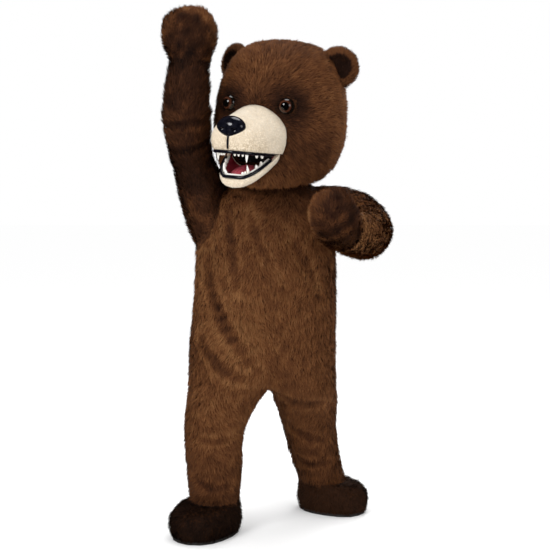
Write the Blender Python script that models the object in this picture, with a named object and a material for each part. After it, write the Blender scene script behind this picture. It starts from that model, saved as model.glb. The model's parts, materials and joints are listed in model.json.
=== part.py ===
"""Bear mascot costume: a hollow fur suit, two mitts, two foot covers and a lift-off head.

Metres, +Z up, the costume faces -Y. "Right" and "left" are the wearer's own, so the raised
arm is the right one, at -X. Heights in the tables are above the floor; the last section
moves everything so that the point where the wearer's shoulders carry it is the origin.
"""
import math

import bpy
import bmesh
from mathutils import Matrix, Vector

for old in list(bpy.data.objects):
    bpy.data.objects.remove(old)

# Driving sizes
GAP = 0.0003              # between pieces that touch
CLOTH_WALL = 0.010        # fur cloth with its pile pressed flat
HEAD_WALL = 0.014         # foam with fur cloth on it
HOLD = Vector((-0.02, 0.12, 1.40))       # where the wearer's shoulders carry the costume
PANEL_COLUMNS = 8         # from one seam to the next
ARMHOLE_STEPS = 10        # rows that each armhole crosses
ROUND = 2 * ARMHOLE_STEPS  # points round a sleeve
SECTION_POWER = 2.2       # 2 is an ellipse, more is squarer

CROTCH_Z = 0.558

# Colours of the finished pieces, linear
BROWN = (0.115, 0.052, 0.026, 1.0)
DARK_BROWN = (0.030, 0.013, 0.008, 1.0)
CREAM = (0.640, 0.520, 0.380, 1.0)
BLACK = (0.012, 0.012, 0.014, 1.0)
RED = (0.180, 0.020, 0.028, 1.0)
IVORY = (0.800, 0.740, 0.600, 1.0)
GLASS_BROWN = (0.060, 0.020, 0.008, 1.0)
METAL = (0.350, 0.300, 0.220, 1.0)


def material(name, colour, roughness, metallic=0.0):
    """Make one Principled material."""
    made = bpy.data.materials.new(name)
    made.use_nodes = True
    shader = made.node_tree.nodes["Principled BSDF"]
    shader.inputs["Base Color"].default_value = colour
    shader.inputs["Roughness"].default_value = roughness
    shader.inputs["Metallic"].default_value = metallic
    made.diffuse_color = colour
    return made


def solid(name, points, faces, colour, roughness=0.9, metallic=0.0, sharp=50.0):
    """Make one closed mesh object in the floor frame."""
    mesh = bpy.data.meshes.new(name)
    mesh.from_pydata([tuple(point) for point in points], [], faces)
    mesh.validate()
    made = bpy.data.objects.new(name, mesh)
    bpy.context.scene.collection.objects.link(made)
    mesh.shade_smooth()
    mesh.set_sharp_from_angle(angle=math.radians(sharp))
    mesh.materials.append(material(name, colour, roughness, metallic))
    return made


def triangulate(made):
    """Split every face into triangles, so that each is flat."""
    tidy = bmesh.new()
    tidy.from_mesh(made.data)
    bmesh.ops.triangulate(tidy, faces=tidy.faces)
    tidy.to_mesh(made.data)
    tidy.free()


def face_outward(made):
    """Turn every face of a closed mesh outward."""
    tidy = bmesh.new()
    tidy.from_mesh(made.data)
    bmesh.ops.recalc_face_normals(tidy, faces=tidy.faces)
    tidy.to_mesh(made.data)
    tidy.free()


def combine(target, other, operation='DIFFERENCE'):
    """Apply a Boolean to target, and remove the other object."""
    triangulate(target)
    triangulate(other)
    modifier = target.modifiers.new("combine", 'BOOLEAN')
    modifier.operation = operation
    modifier.solver = 'EXACT'
    modifier.object = other
    bpy.context.view_layer.update()
    graph = bpy.context.evaluated_depsgraph_get()
    mesh = bpy.data.meshes.new_from_object(target.evaluated_get(graph))
    target.modifiers.remove(modifier)
    target.data = mesh
    bpy.data.objects.remove(other)
    return target


def column(table, key, name, at):
    """Read one column of a table at a value of its key, on a smooth curve through the rows."""
    keys = [row[key] for row in table]
    values = [row[name] for row in table]
    at = min(max(at, keys[0]), keys[-1])
    last = len(keys) - 1
    low = max(i for i in range(last) if keys[i] <= at or i == 0)

    def slope(i):
        before = max(i - 1, 0)
        after = min(i + 1, last)
        return (values[after] - values[before]) / (keys[after] - keys[before])

    width = keys[low + 1] - keys[low]
    t = (at - keys[low]) / width
    start = slope(low) * width
    end = slope(low + 1) * width
    return ((2 * t**3 - 3 * t**2 + 1) * values[low] + (t**3 - 2 * t**2 + t) * start
            + (3 * t**2 - 2 * t**3) * values[low + 1] + (t**3 - t**2) * end)


def rows_of(names, rows):
    """Turn short rows of numbers into a table with named columns."""
    return [dict(zip(names, row)) for row in rows]


def step(t):
    """Go smoothly from 0 to 1."""
    t = min(max(t, 0.0), 1.0)
    return t * t * (3 - 2 * t)


# The suit's sections by height, one table for each half. A section is part of an oval: x and y
# of its middle, its half width, and its depth in front of and behind the middle.
HALF_COLUMNS = ("z", "x", "y", "wide", "front", "back")
RIGHT_HALF = rows_of(HALF_COLUMNS, [
    (0.135, -0.241, 0.020, 0.098, 0.098, 0.100),
    (0.250, -0.241, 0.020, 0.108, 0.108, 0.112),
    (0.400, -0.242, 0.040, 0.119, 0.122, 0.125),
    (0.500, -0.216, 0.062, 0.139, 0.146, 0.148),
    (0.558, -0.188, 0.085, 0.160, 0.165, 0.165),
    (0.650, -0.112, 0.105, 0.234, 0.195, 0.190),
    (0.740, -0.045, 0.110, 0.298, 0.212, 0.200),
    (0.920, -0.040, 0.110, 0.285, 0.215, 0.195),
    (1.080, -0.036, 0.110, 0.280, 0.205, 0.190),
    (1.160, -0.034, 0.112, 0.280, 0.193, 0.186),
    (1.240, -0.030, 0.115, 0.272, 0.176, 0.178),
    (1.310, -0.026, 0.118, 0.238, 0.155, 0.165),
    (1.350, -0.022, 0.120, 0.200, 0.138, 0.148),
    (1.380, -0.020, 0.120, 0.160, 0.120, 0.132),
    (1.405, -0.020, 0.120, 0.112, 0.100, 0.110),
])
LEFT_HALF = rows_of(HALF_COLUMNS, [
    (0.135, 0.200, 0.322, 0.098, 0.098, 0.096),
    (0.250, 0.168, 0.278, 0.103, 0.104, 0.104),
    (0.400, 0.140, 0.225, 0.113, 0.116, 0.116),
    (0.500, 0.126, 0.170, 0.128, 0.138, 0.136),
    (0.558, 0.110, 0.125, 0.138, 0.160, 0.156),
    (0.650, 0.030, 0.112, 0.214, 0.192, 0.186),
    (0.740, -0.045, 0.110, 0.288, 0.212, 0.200),
    (0.920, -0.040, 0.110, 0.284, 0.215, 0.195),
    (1.080, -0.036, 0.110, 0.278, 0.205, 0.190),
    (1.160, -0.034, 0.112, 0.274, 0.193, 0.186),
    (1.240, -0.030, 0.115, 0.266, 0.176, 0.178),
    (1.310, -0.026, 0.118, 0.240, 0.155, 0.165),
    (1.350, -0.022, 0.120, 0.205, 0.138, 0.148),
    (1.380, -0.020, 0.120, 0.162, 0.120, 0.132),
    (1.405, -0.020, 0.120, 0.112, 0.100, 0.110),
])
MIDDLE = rows_of(("z", "x"), [(0.558, -0.028), (0.740, -0.045), (1.080, -0.036), (1.405, -0.020)])

# Each armhole: its middle height, half height and how far round the section it reaches
ARMHOLES = {
    "right": {"z": 1.250, "half": 0.125, "turn": math.radians(44)},
    "left": {"z": 1.250, "half": 0.125, "turn": math.radians(44)},
}
LEG_ROWS = (0.135, 0.175, 0.215, 0.260, 0.305, 0.350, 0.395, 0.435, 0.475, 0.515)
BODY_ROWS = (0.558, 0.580, 0.612, 0.650, 0.695, 0.745, 0.800, 0.855, 0.910, 0.965, 1.020, 1.075)
TOP_ROWS = (1.390, 1.405)

# The main creases of the suit: three points each as seen from the front or back, and the
# trough's depth and half width
FOLD_COLUMNS = ("side", "x0", "z0", "x1", "z1", "x2", "z2", "depth", "wide")
FOLDS = rows_of(FOLD_COLUMNS, [
    ("front", -0.190, 1.328, -0.175, 1.168, -0.141, 0.962, 0.012, 0.026),
    ("front", -0.262, 1.191, -0.228, 0.919, -0.025, 0.625, 0.017, 0.028),
    ("front", -0.095, 1.309, -0.069, 1.187, 0.008, 1.035, 0.009, 0.024),
    ("front", 0.057, 1.206, 0.107, 1.111, 0.180, 0.981, 0.010, 0.026),
    ("front", -0.299, 0.846, -0.238, 0.707, -0.060, 0.618, 0.012, 0.030),
    ("front", 0.020, 0.418, 0.122, 0.371, 0.240, 0.338, 0.010, 0.022),
    ("front", 0.050, 0.276, 0.145, 0.238, 0.270, 0.254, 0.010, 0.020),
    ("front", -0.325, 0.261, -0.248, 0.214, -0.140, 0.226, 0.009, 0.020),
    ("front", -0.344, 0.434, -0.251, 0.395, -0.124, 0.426, 0.008, 0.022),
    ("front", 0.000, 0.580, 0.099, 0.520, 0.233, 0.536, 0.010, 0.024),
    ("back", -0.200, 1.300, -0.150, 1.180, -0.120, 1.020, 0.010, 0.028),
    ("back", 0.150, 1.310, 0.120, 1.160, 0.140, 1.010, 0.009, 0.028),
    ("back", -0.230, 0.900, -0.150, 0.760, -0.070, 0.660, 0.011, 0.030),
    ("back", 0.190, 0.880, 0.110, 0.740, 0.030, 0.660, 0.011, 0.030),
    ("back", -0.340, 0.420, -0.250, 0.385, -0.150, 0.410, 0.010, 0.024),
    ("back", 0.040, 0.400, 0.140, 0.370, 0.240, 0.385, 0.010, 0.024),
    ("back", -0.330, 0.240, -0.240, 0.215, -0.150, 0.235, 0.009, 0.022),
    ("back", 0.080, 0.245, 0.170, 0.220, 0.260, 0.240, 0.009, 0.022),
])
FOLD_SAMPLES = 14


def fold_depth(side, x, z):
    """Give how deep the creases press the suit at a place seen from the front or back."""
    total = 0.0
    for fold in FOLDS:
        if fold["side"] != side:
            continue
        best = 1.0
        along = 0.0
        for i in range(FOLD_SAMPLES + 1):
            t = i / FOLD_SAMPLES
            a, b, c = (1 - t) * (1 - 2 * t), 4 * t * (1 - t), t * (2 * t - 1)
            px = a * fold["x0"] + b * fold["x1"] + c * fold["x2"]
            pz = a * fold["z0"] + b * fold["z1"] + c * fold["z2"]
            distance = math.hypot(px - x, pz - z)
            if distance < best:
                best = distance
                along = t
        taper = 0.35 + 0.65 * math.sin(math.pi * along)
        total = max(total, taper * fold["depth"] * math.exp(-(best / fold["wide"]) ** 2))
    return total


class Cloth:
    """One welded outer surface. Sewn pieces are cut from it, with a gap at each seam."""

    def __init__(self):
        self.points = []
        self.faces = []

    def add(self, point):
        self.points.append(Vector(point))
        return len(self.points) - 1

    def strip(self, lower, upper, pieces, inside, closed):
        """Join two rows of points with faces that look away from the point inside."""
        count = len(lower)
        made = []
        outward = 0.0
        for k in range(count if closed else count - 1):
            after = (k + 1) % count
            corners = []
            for number in (lower[k], lower[after], upper[after], upper[k]):
                if number not in corners:
                    corners.append(number)
            if len(corners) < 3:
                continue
            made.append((pieces[k], corners))
            spots = [self.points[number] for number in corners]
            normal = (spots[1] - spots[0]).cross(spots[-1] - spots[0])
            outward += normal.dot(sum(spots, Vector()) / len(spots) - Vector(inside))
        for piece, corners in made:
            self.faces.append((piece, corners if outward > 0 else corners[::-1]))

    def normals(self):
        """Give each point the mean normal of the faces round it."""
        total = [Vector() for _ in self.points]
        for _, corners in self.faces:
            spots = [self.points[number] for number in corners]
            normal = Vector()
            for i in range(1, len(spots) - 1):
                normal += (spots[i] - spots[0]).cross(spots[i + 1] - spots[0])
            for number in corners:
                total[number] += normal.normalized()
        return [vector.normalized() for vector in total]

    def cut(self, piece, wall, normals):
        """Give the points and faces of one piece as a closed wall."""
        mine = [corners for name, corners in self.faces if name == piece]
        used = sorted({number for corners in mine for number in corners})
        place = {number: i for i, number in enumerate(used)}
        edges = set()
        for corners in mine:
            edges.update(zip(corners, corners[1:] + corners[:1]))
        borders = sorted((a, b) for a, b in edges if (b, a) not in edges)
        inward = {number: Vector() for number in used}
        for a, b in borders:
            along = (self.points[b] - self.points[a]).normalized()
            for number in (a, b):
                inward[number] += normals[number].cross(along).normalized()
        outer = []
        inner = []
        for number in used:
            point = self.points[number].copy()
            if inward[number].length > 0.1:
                point += inward[number].normalized() * GAP * 0.6
            outer.append(point)
            inner.append(point - normals[number] * wall)
        shift = len(used)
        faces = [[place[number] for number in corners] for corners in mine]
        faces += [[place[number] + shift for number in corners[::-1]] for corners in mine]
        for a, b in borders:
            a1, b1 = place[a], place[b]
            a2, b2 = a1 + shift, b1 + shift
            if (self.points[a].z, a) < (self.points[b].z, b):
                faces += [[b1, a1, b2], [a1, a2, b2]]
            else:
                faces += [[b1, a1, a2], [b1, a2, b2]]
        return outer + inner, faces


def oval(row, turn, back):
    """Give a point of a half section: turn is 0 at the side seam and grows towards the middle."""
    power = 2 / SECTION_POWER
    c = math.cos(turn)
    s = math.sin(turn)
    x = row["wide"] * math.copysign(abs(c) ** power, c)
    depth = row["back"] if back else row["front"]
    y = depth * abs(s) ** power
    return x, (y if back else -y)


def middle_turn(row, z, side):
    """Give the turn at which a section reaches the middle of the body, or its inseam."""
    if z < CROTCH_Z - 0.0001:
        return math.pi
    reach = side * (column(MIDDLE, "z", "x", z) - row["x"]) / row["wide"]
    reach = min(max(reach, -1.0), 1.0)
    return math.acos(math.copysign(abs(reach) ** (SECTION_POWER / 2), reach))


def armhole_turn(hole, z):
    """Give how far the armhole's edge lies from the side seam at a height."""
    high = (z - hole["z"]) / hole["half"]
    if abs(high) >= 1:
        return 0.0
    return hole["turn"] * math.sqrt(1 - high * high)


def half_suit(cloth, word, table, side, shared):
    """Add one half of the suit: its front and back panels, from the foot to the neck."""
    hole = ARMHOLES[word]
    arm_rows = [hole["z"] - hole["half"] * math.cos(math.pi * k / ARMHOLE_STEPS)
                for k in range(ARMHOLE_STEPS + 1)]
    heights = list(LEG_ROWS) + list(BODY_ROWS) + arm_rows + list(TOP_ROWS)
    grids = {"front": [], "back": []}
    middles = []
    for z in heights:
        row = {name: column(table, "z", name, z) for name in HALF_COLUMNS[1:]}
        inner = middle_turn(row, z, side)
        outer = armhole_turn(hole, z)
        seam = {}
        for face in ("front", "back"):
            numbers = []
            for k in range(PANEL_COLUMNS + 1):
                turn = inner + (outer - inner) * k / PANEL_COLUMNS
                x, y = oval(row, turn, face == "back")
                spot = Vector((row["x"] + side * x, row["y"] + y, z))
                press = fold_depth(face, spot.x, z) * math.sin(min(turn, math.pi - turn, 1.0))
                centre = Vector((row["x"], row["y"], z))
                spot += (centre - spot).normalized() * press
                at_middle = k == 0
                at_side = k == PANEL_COLUMNS and outer == 0.0
                if at_middle and z >= CROTCH_Z - 0.0001:
                    key = (face if z > CROTCH_Z + 0.0001 else "crotch", round(z, 5))
                    if key not in shared:
                        spot.x = column(MIDDLE, "z", "x", z)
                        shared[key] = cloth.add(spot)
                    number = shared[key]
                elif (at_middle or at_side) and k in seam:
                    number = seam[k]
                else:
                    number = cloth.add(spot)
                    if at_middle or at_side:
                        seam[k] = number
                numbers.append(number)
            grids[face].append(numbers)
        middles.append(Vector((row["x"], row["y"], z)))
    for face in ("front", "back"):
        piece = f"suit_{face}_{word}"
        for low, high, inside in zip(grids[face], grids[face][1:], middles):
            cloth.strip(low, high, [piece] * PANEL_COLUMNS, inside, closed=False)
    leg_ring = grids["front"][0] + grids["back"][0][-2:0:-1]
    first = len(LEG_ROWS) + len(BODY_ROWS)
    hole_front = [row[-1] for row in grids["front"][first:first + ARMHOLE_STEPS + 1]]
    hole_back = [row[-1] for row in grids["back"][first:first + ARMHOLE_STEPS + 1]]
    hole_ring = hole_front + hole_back[-2:0:-1]
    return leg_ring, hole_ring, grids


# The arms: the middle of each section, and its radius across and along the reach of the arm.
# The sleeve's creases are rings pressed in or swollen out, as shares of the radius.
ARM_COLUMNS = ("x", "y", "z", "across", "along")
RIGHT_SLEEVE = rows_of(ARM_COLUMNS, [
    (-0.268, 0.100, 1.318, 0.116, 0.116),
    (-0.293, 0.087, 1.378, 0.100, 0.106),
    (-0.313, 0.070, 1.438, 0.087, 0.099),
    (-0.329, 0.052, 1.495, 0.084, 0.097),
    (-0.337, 0.034, 1.550, 0.089, 0.098),
    (-0.341, 0.020, 1.605, 0.093, 0.097),
    (-0.343, 0.010, 1.655, 0.096, 0.096),
    (-0.342, 0.002, 1.705, 0.090, 0.092),
    (-0.338, -0.004, 1.755, 0.091, 0.090),
    (-0.333, -0.008, 1.802, 0.084, 0.084),
    (-0.328, -0.010, 1.848, 0.079, 0.078),
])
LEFT_SLEEVE = rows_of(ARM_COLUMNS, [
    (0.262, 0.092, 1.252, 0.122, 0.128),
    (0.295, 0.070, 1.247, 0.116, 0.124),
    (0.322, 0.042, 1.233, 0.112, 0.118),
    (0.340, 0.010, 1.217, 0.110, 0.113),
    (0.347, -0.024, 1.203, 0.105, 0.110),
    (0.343, -0.058, 1.194, 0.102, 0.104),
    (0.332, -0.092, 1.190, 0.096, 0.099),
    (0.316, -0.124, 1.190, 0.093, 0.096),
    (0.298, -0.153, 1.194, 0.088, 0.090),
    (0.279, -0.180, 1.199, 0.085, 0.087),
    (0.261, -0.206, 1.205, 0.081, 0.082),
])
# The mitts: the middle of each section, half its width and half its thickness
RIGHT_MITT = rows_of(ARM_COLUMNS, [
    (-0.327, -0.010, 1.868, 0.082, 0.076),
    (-0.327, -0.012, 1.895, 0.094, 0.076),
    (-0.327, -0.016, 1.925, 0.103, 0.074),
    (-0.327, -0.022, 1.955, 0.108, 0.070),
    (-0.327, -0.030, 1.983, 0.107, 0.064),
    (-0.326, -0.038, 2.008, 0.101, 0.055),
    (-0.325, -0.046, 2.030, 0.088, 0.043),
    (-0.325, -0.052, 2.045, 0.066, 0.027),
])
LEFT_MITT = rows_of(ARM_COLUMNS, [
    (0.252, -0.220, 1.209, 0.082, 0.080),
    (0.238, -0.242, 1.218, 0.086, 0.078),
    (0.226, -0.260, 1.234, 0.090, 0.076),
    (0.217, -0.272, 1.258, 0.092, 0.072),
    (0.210, -0.279, 1.286, 0.091, 0.066),
    (0.206, -0.283, 1.313, 0.086, 0.056),
    (0.203, -0.286, 1.337, 0.075, 0.044),
    (0.201, -0.288, 1.354, 0.056, 0.027),
])
MITTS = {
    "right": {"rows": RIGHT_MITT, "across": Vector((1, 0.10, 0)), "tip": (-0.325, -0.055, 2.052)},
    "left": {"rows": LEFT_MITT, "across": Vector((1, 0.35, 0)), "tip": (0.200, -0.289, 1.362)},
}
FINGERS = 4
FINGER_LENGTH = 0.013
FINGER_PRESS = 0.16       # how deep the mitt is pressed in between its fingers


def place_of(row):
    return Vector((row["x"], row["y"], row["z"]))


def directions(path):
    """Give the direction of a path at each of its points."""
    last = len(path) - 1
    return [(path[min(i + 1, last)] - path[max(i - 1, 0)]).normalized() for i in range(last + 1)]


def sleeve(cloth, word, table, hole_ring):
    """Add a sleeve from the armhole's own points to a round cuff. Returns its last row."""
    start = sum((cloth.points[number] for number in hole_ring), Vector()) / ROUND
    path = [start] + [place_of(row) for row in table]
    heads = directions(path)
    spots = [cloth.points[number] - start for number in hole_ring]
    across = spots[0] - heads[0] * spots[0].dot(heads[0])
    across.normalize()
    turns = []
    for spot in spots:
        along = heads[0].cross(across)
        turns.append(math.atan2(spot.dot(along), spot.dot(across)))
    way = 1 if math.sin(turns[ROUND // 4] - turns[0]) > 0 else -1
    even = [way * 2 * math.pi * k / ROUND for k in range(ROUND)]
    turns = [e + math.remainder(t - e, 2 * math.pi) for t, e in zip(turns, even)]
    rows = [hole_ring]
    for i, row in enumerate(table):
        head = heads[i + 1]
        across = (across - head * across.dot(head)).normalized()
        along = head.cross(across)
        share = step((i + 1) / 4)
        numbers = []
        for k in range(ROUND):
            turn = turns[k] + (even[k] - turns[k]) * share
            ring = across * math.cos(turn) * row["across"] + along * math.sin(turn) * row["along"]
            spot = path[i + 1] + spots[k].lerp(ring, step((i + 1) / 2.5))
            numbers.append(cloth.add(spot))
        rows.append(numbers)
    for low, high, inside in zip(rows, rows[1:], path):
        cloth.strip(low, high, [f"sleeve_{word}"] * ROUND, inside, closed=True)
    return rows[-1], path[-1]


def mitt(cloth, word, cuff, cuff_middle):
    """Add a mitt's palm and back from the cuff's own points to its finger tips."""
    table = MITTS[word]["rows"]
    path = [cuff_middle] + [place_of(row) for row in table]
    heads = directions(path)
    side = MITTS[word]["across"].normalized()

    def frame(head):
        across = (side - head * side.dot(head)).normalized()
        return across, head.cross(across)

    across, along = frame(heads[0])
    first = cloth.points[cuff[0]] - cuff_middle
    second = cloth.points[cuff[ROUND // 4]] - cuff_middle
    start = math.atan2(first.dot(along), first.dot(across))
    turned = math.atan2(second.dot(along), second.dot(across)) - start
    way = 1 if math.sin(turned) > 0 else -1
    one = 2 * math.pi / ROUND
    begin = round(start / one)
    angles = [(begin + way * k) * one for k in range(ROUND)]
    rows = [cuff]
    for i, row in enumerate(table):
        across, along = frame(heads[i + 1])
        share = i / (len(table) - 1)
        numbers = []
        for angle in angles:
            u = math.cos(angle)
            lobe = abs(math.sin(FINGERS / 2 * math.pi * u))
            thick = row["along"] * (1 - FINGER_PRESS * share * (1 - lobe))
            spot = path[i + 1] + across * row["across"] * u + along * thick * math.sin(angle)
            spot += heads[i + 1] * FINGER_LENGTH * share * (lobe - 0.5 - 0.8 * u * u)
            numbers.append(cloth.add(spot))
        rows.append(numbers)
    names = []
    for k in range(ROUND):
        between = angles[k] + way * one / 2
        # The palm is the side that looks towards -Y
        toward = frame(heads[-1])[1] * math.sin(between)
        names.append(f"mitt_{word}_palm" if toward.y < 0 else f"mitt_{word}_back")
    for low, high, inside in zip(rows, rows[1:], path):
        cloth.strip(low, high, names, inside, closed=True)
    tip = cloth.add(MITTS[word]["tip"])
    cloth.strip(rows[-1], [tip] * ROUND, names, path[-2], closed=True)


# The foot covers: middle, which way the toes point, half length and half width of the outline,
# and for each height the share of the outline that the section reaches from the ankle's own
FEET = {
    "right": {"x": -0.272, "y": -0.022, "turn": math.radians(-33), "long": 0.160, "wide": 0.118},
    "left": {"x": 0.243, "y": 0.312, "turn": math.radians(60), "long": 0.152, "wide": 0.108},
}
FOOT_ROWS = rows_of(("z", "share", "size"), [
    (0.128, 0.42, 0.96),
    (0.112, 0.80, 0.97),
    (0.085, 1.00, 0.99),
    (0.052, 1.00, 1.00),
    (0.026, 1.00, 0.97),
    (0.0100, 1.00, 0.92),
])
TOES = 4
TOE_SWELL = 0.05
SOLE_THICK = 0.0097
SOLE_SHARE = 0.996


def foot_outline(foot, angle, size):
    """Give a point of the foot's outline; angle is 0 at the toes."""
    front = max(math.cos(angle), 0.0)
    lobe = 1 + TOE_SWELL * front * abs(math.cos(TOES * angle))
    u = math.cos(angle)
    v = math.sin(angle)
    power = 0.86
    long = foot["long"] * math.copysign(abs(u) ** power, u) * lobe * size
    wide = foot["wide"] * math.copysign(abs(v) ** power, v) * lobe * size
    ahead = Vector((math.sin(foot["turn"]), -math.cos(foot["turn"]), 0))
    beside = Vector((math.cos(foot["turn"]), math.sin(foot["turn"]), 0))
    return Vector((foot["x"], foot["y"], 0)) + ahead * long + beside * wide


def foot_cover(cloth, word, ankle):
    """Add a foot cover from the leg's own last row down to the sole."""
    foot = FEET[word]
    middle = sum((cloth.points[number] for number in ankle), Vector()) / len(ankle)
    rows = [ankle]
    for row in FOOT_ROWS:
        numbers = []
        for number in ankle:
            spot = cloth.points[number]
            away = spot - middle
            angle = math.atan2(away.y, away.x) + math.pi / 2 - foot["turn"]
            reach = foot_outline(foot, angle, row["size"])
            flat = spot.lerp(reach, row["share"])
            numbers.append(cloth.add((flat.x, flat.y, row["z"])))
        rows.append(numbers)
    inside = Vector((foot["x"], foot["y"], 0.06))
    for low, high in zip(rows, rows[1:]):
        cloth.strip(low, high, [f"foot_{word}"] * len(ankle), inside, closed=True)
    return [cloth.points[number] for number in rows[-1]]


def sole(word, rim):
    """Make the flat sole under a foot cover."""
    middle = sum(rim, Vector()) / len(rim)
    count = len(rim)
    low = []
    high = []
    for spot in rim:
        flat = middle + (spot - middle) * SOLE_SHARE
        low.append(Vector((flat.x, flat.y, 0.0)))
        high.append(Vector((flat.x, flat.y, SOLE_THICK)))
    faces = [list(range(count)), [i + count for i in reversed(range(count))]]
    for i in range(count):
        j = (i + 1) % count
        faces.append([j, i, i + count, j + count])
    made = solid(f"sole_{word}", low + high, faces, BLACK, roughness=0.8, sharp=30)
    face_outward(made)
    return made


# The suit, its sleeves, mitts and foot covers, as one welded surface
suit = Cloth()
shared_middle = {}
right_ankle, right_hole, right_grids = half_suit(suit, "right", RIGHT_HALF, -1, shared_middle)
left_ankle, left_hole, left_grids = half_suit(suit, "left", LEFT_HALF, 1, shared_middle)
right_cuff, right_wrist = sleeve(suit, "right", RIGHT_SLEEVE, right_hole)
left_cuff, left_wrist = sleeve(suit, "left", LEFT_SLEEVE, left_hole)
mitt(suit, "right", right_cuff, right_wrist)
mitt(suit, "left", left_cuff, left_wrist)
right_rim = foot_cover(suit, "right", right_ankle)
left_rim = foot_cover(suit, "left", left_ankle)
suit_normals = suit.normals()

CLOTH_PIECES = (
    "suit_front_right", "suit_front_left", "suit_back_right", "suit_back_left",
    "sleeve_right", "sleeve_left", "mitt_right_palm", "mitt_right_back",
    "mitt_left_palm", "mitt_left_back", "foot_right", "foot_left",
)
suit_pieces = []
for piece_name in CLOTH_PIECES:
    piece_points, piece_faces = suit.cut(piece_name, CLOTH_WALL, suit_normals)
    dark = piece_name.endswith("palm") or piece_name.startswith("foot")
    suit_pieces.append(solid(piece_name, piece_points, piece_faces, DARK_BROWN if dark else BROWN))
suit_pieces.append(sole("right", right_rim))
suit_pieces.append(sole("left", left_rim))

# The head, in its own frame: +Z up, the face looks to -Y. It is turned and tipped on the suit.
HEAD_MIDDLE = Vector((0.022, 0.066, 1.6605))
HEAD_YAW = math.radians(-26)
HEAD_ROLL = math.radians(5)
HEAD_FRAME = (Matrix.Translation(HEAD_MIDDLE) @ Matrix.Rotation(HEAD_YAW, 4, 'Z')
              @ Matrix.Rotation(HEAD_ROLL, 4, 'Y'))
HEAD_ROUND = 24
HEAD_SECTIONS = rows_of(("z", "wide", "front", "back"), [
    (-0.262, 0.150, 0.165, 0.150),
    (-0.246, 0.190, 0.196, 0.180),
    (-0.205, 0.228, 0.216, 0.212),
    (-0.150, 0.250, 0.226, 0.232),
    (-0.085, 0.262, 0.232, 0.245),
    (-0.015, 0.264, 0.232, 0.250),
    (0.055, 0.257, 0.226, 0.247),
    (0.120, 0.243, 0.212, 0.236),
    (0.180, 0.219, 0.190, 0.212),
    (0.230, 0.180, 0.154, 0.174),
    (0.262, 0.130, 0.110, 0.126),
    (0.276, 0.070, 0.060, 0.068),
])
HEAD_TOP = 0.281
NECK_TILT = 0.20          # the neck's edge is lower in front than behind
NECK_TILT_FROM = -0.10
MOUTH_HOLE = {"z": -0.1565, "wide": 0.0925, "high": 0.0465}
SCREEN_Y = -0.203         # the middle of the see-through screen
SCREEN_THICK = 0.004

# The muzzle's sections from its root forward, and the same for the lower jaw: the height of the
# middle, half width, half height
MUZZLE_COLUMNS = ("y", "z", "wide", "high")
MUZZLE = rows_of(MUZZLE_COLUMNS, [
    (-0.416, -0.118, 0.030, 0.026),
    (-0.408, -0.118, 0.058, 0.048),
    (-0.388, -0.118, 0.084, 0.068),
    (-0.350, -0.116, 0.104, 0.084),
    (-0.300, -0.111, 0.115, 0.097),
    (-0.250, -0.105, 0.122, 0.111),
    (-0.200, -0.099, 0.128, 0.123),
    (-0.150, -0.095, 0.130, 0.130),
])
JAW = rows_of(MUZZLE_COLUMNS, [
    (-0.362, -0.268, 0.024, 0.018),
    (-0.354, -0.264, 0.046, 0.031),
    (-0.334, -0.252, 0.068, 0.042),
    (-0.298, -0.229, 0.087, 0.050),
    (-0.250, -0.198, 0.100, 0.055),
    (-0.200, -0.166, 0.107, 0.058),
    (-0.150, -0.134, 0.110, 0.060),
])
MUZZLE_CUT = {"z": -0.160, "slope": 0.0}
JAW_CUT = {"z": -0.164, "slope": 0.57}    # the mouth is wide open
BRIDGE_PINCH = 0.26       # how much narrower the muzzle is at its top
MUZZLE_WALL = 0.013
LINING_WALL = 0.004
FACE_ROUND = 16


def head_solid(name, grow, colour, wall=None):
    """Make the head's form, closed, or as a wall open at the neck."""
    points = []
    faces = []
    shells = [grow] if wall is None else [grow, grow - wall]
    rows = len(HEAD_SECTIONS)
    for swell in shells:
        for row in HEAD_SECTIONS:
            for k in range(HEAD_ROUND):
                turn = 2 * math.pi * k / HEAD_ROUND
                x = math.sin(turn)
                y = -math.cos(turn)
                depth = row["front"] if y < 0 else row["back"]
                lift = 1 + swell / HEAD_SECTIONS[5]["wide"]
                points.append(Vector((x * (row["wide"] + swell * 0.92),
                                      y * (depth + swell * 0.92), row["z"] * lift)))
        points.append(Vector((0, 0, HEAD_TOP * (1 + swell / HEAD_TOP))))
    lowest = HEAD_SECTIONS[0]["z"]
    if wall is not None:
        # Both walls end at one height
        inner_start = rows * HEAD_ROUND + 1
        for k in range(HEAD_ROUND):
            points[inner_start + k].z = points[k].z
    for point in points:
        low = max(NECK_TILT_FROM - point.z, 0.0) / (NECK_TILT_FROM - lowest)
        point.z += NECK_TILT * point.y * low
    for s in range(len(shells)):
        base = s * (rows * HEAD_ROUND + 1)
        for i in range(rows):
            for k in range(HEAD_ROUND):
                a = base + i * HEAD_ROUND + k
                b = base + i * HEAD_ROUND + (k + 1) % HEAD_ROUND
                if i == rows - 1:
                    corners = [a, b, base + rows * HEAD_ROUND]
                else:
                    corners = [a, b, b + HEAD_ROUND, a + HEAD_ROUND]
                faces.append(corners if s == 0 else corners[::-1])
    if wall is None:
        faces.append(list(range(HEAD_ROUND))[::-1])
    else:
        inner = rows * HEAD_ROUND + 1
        for k in range(HEAD_ROUND):
            after = (k + 1) % HEAD_ROUND
            faces.append([after, k, inner + k, inner + after])
    return solid(name, points, faces, colour)


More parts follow.
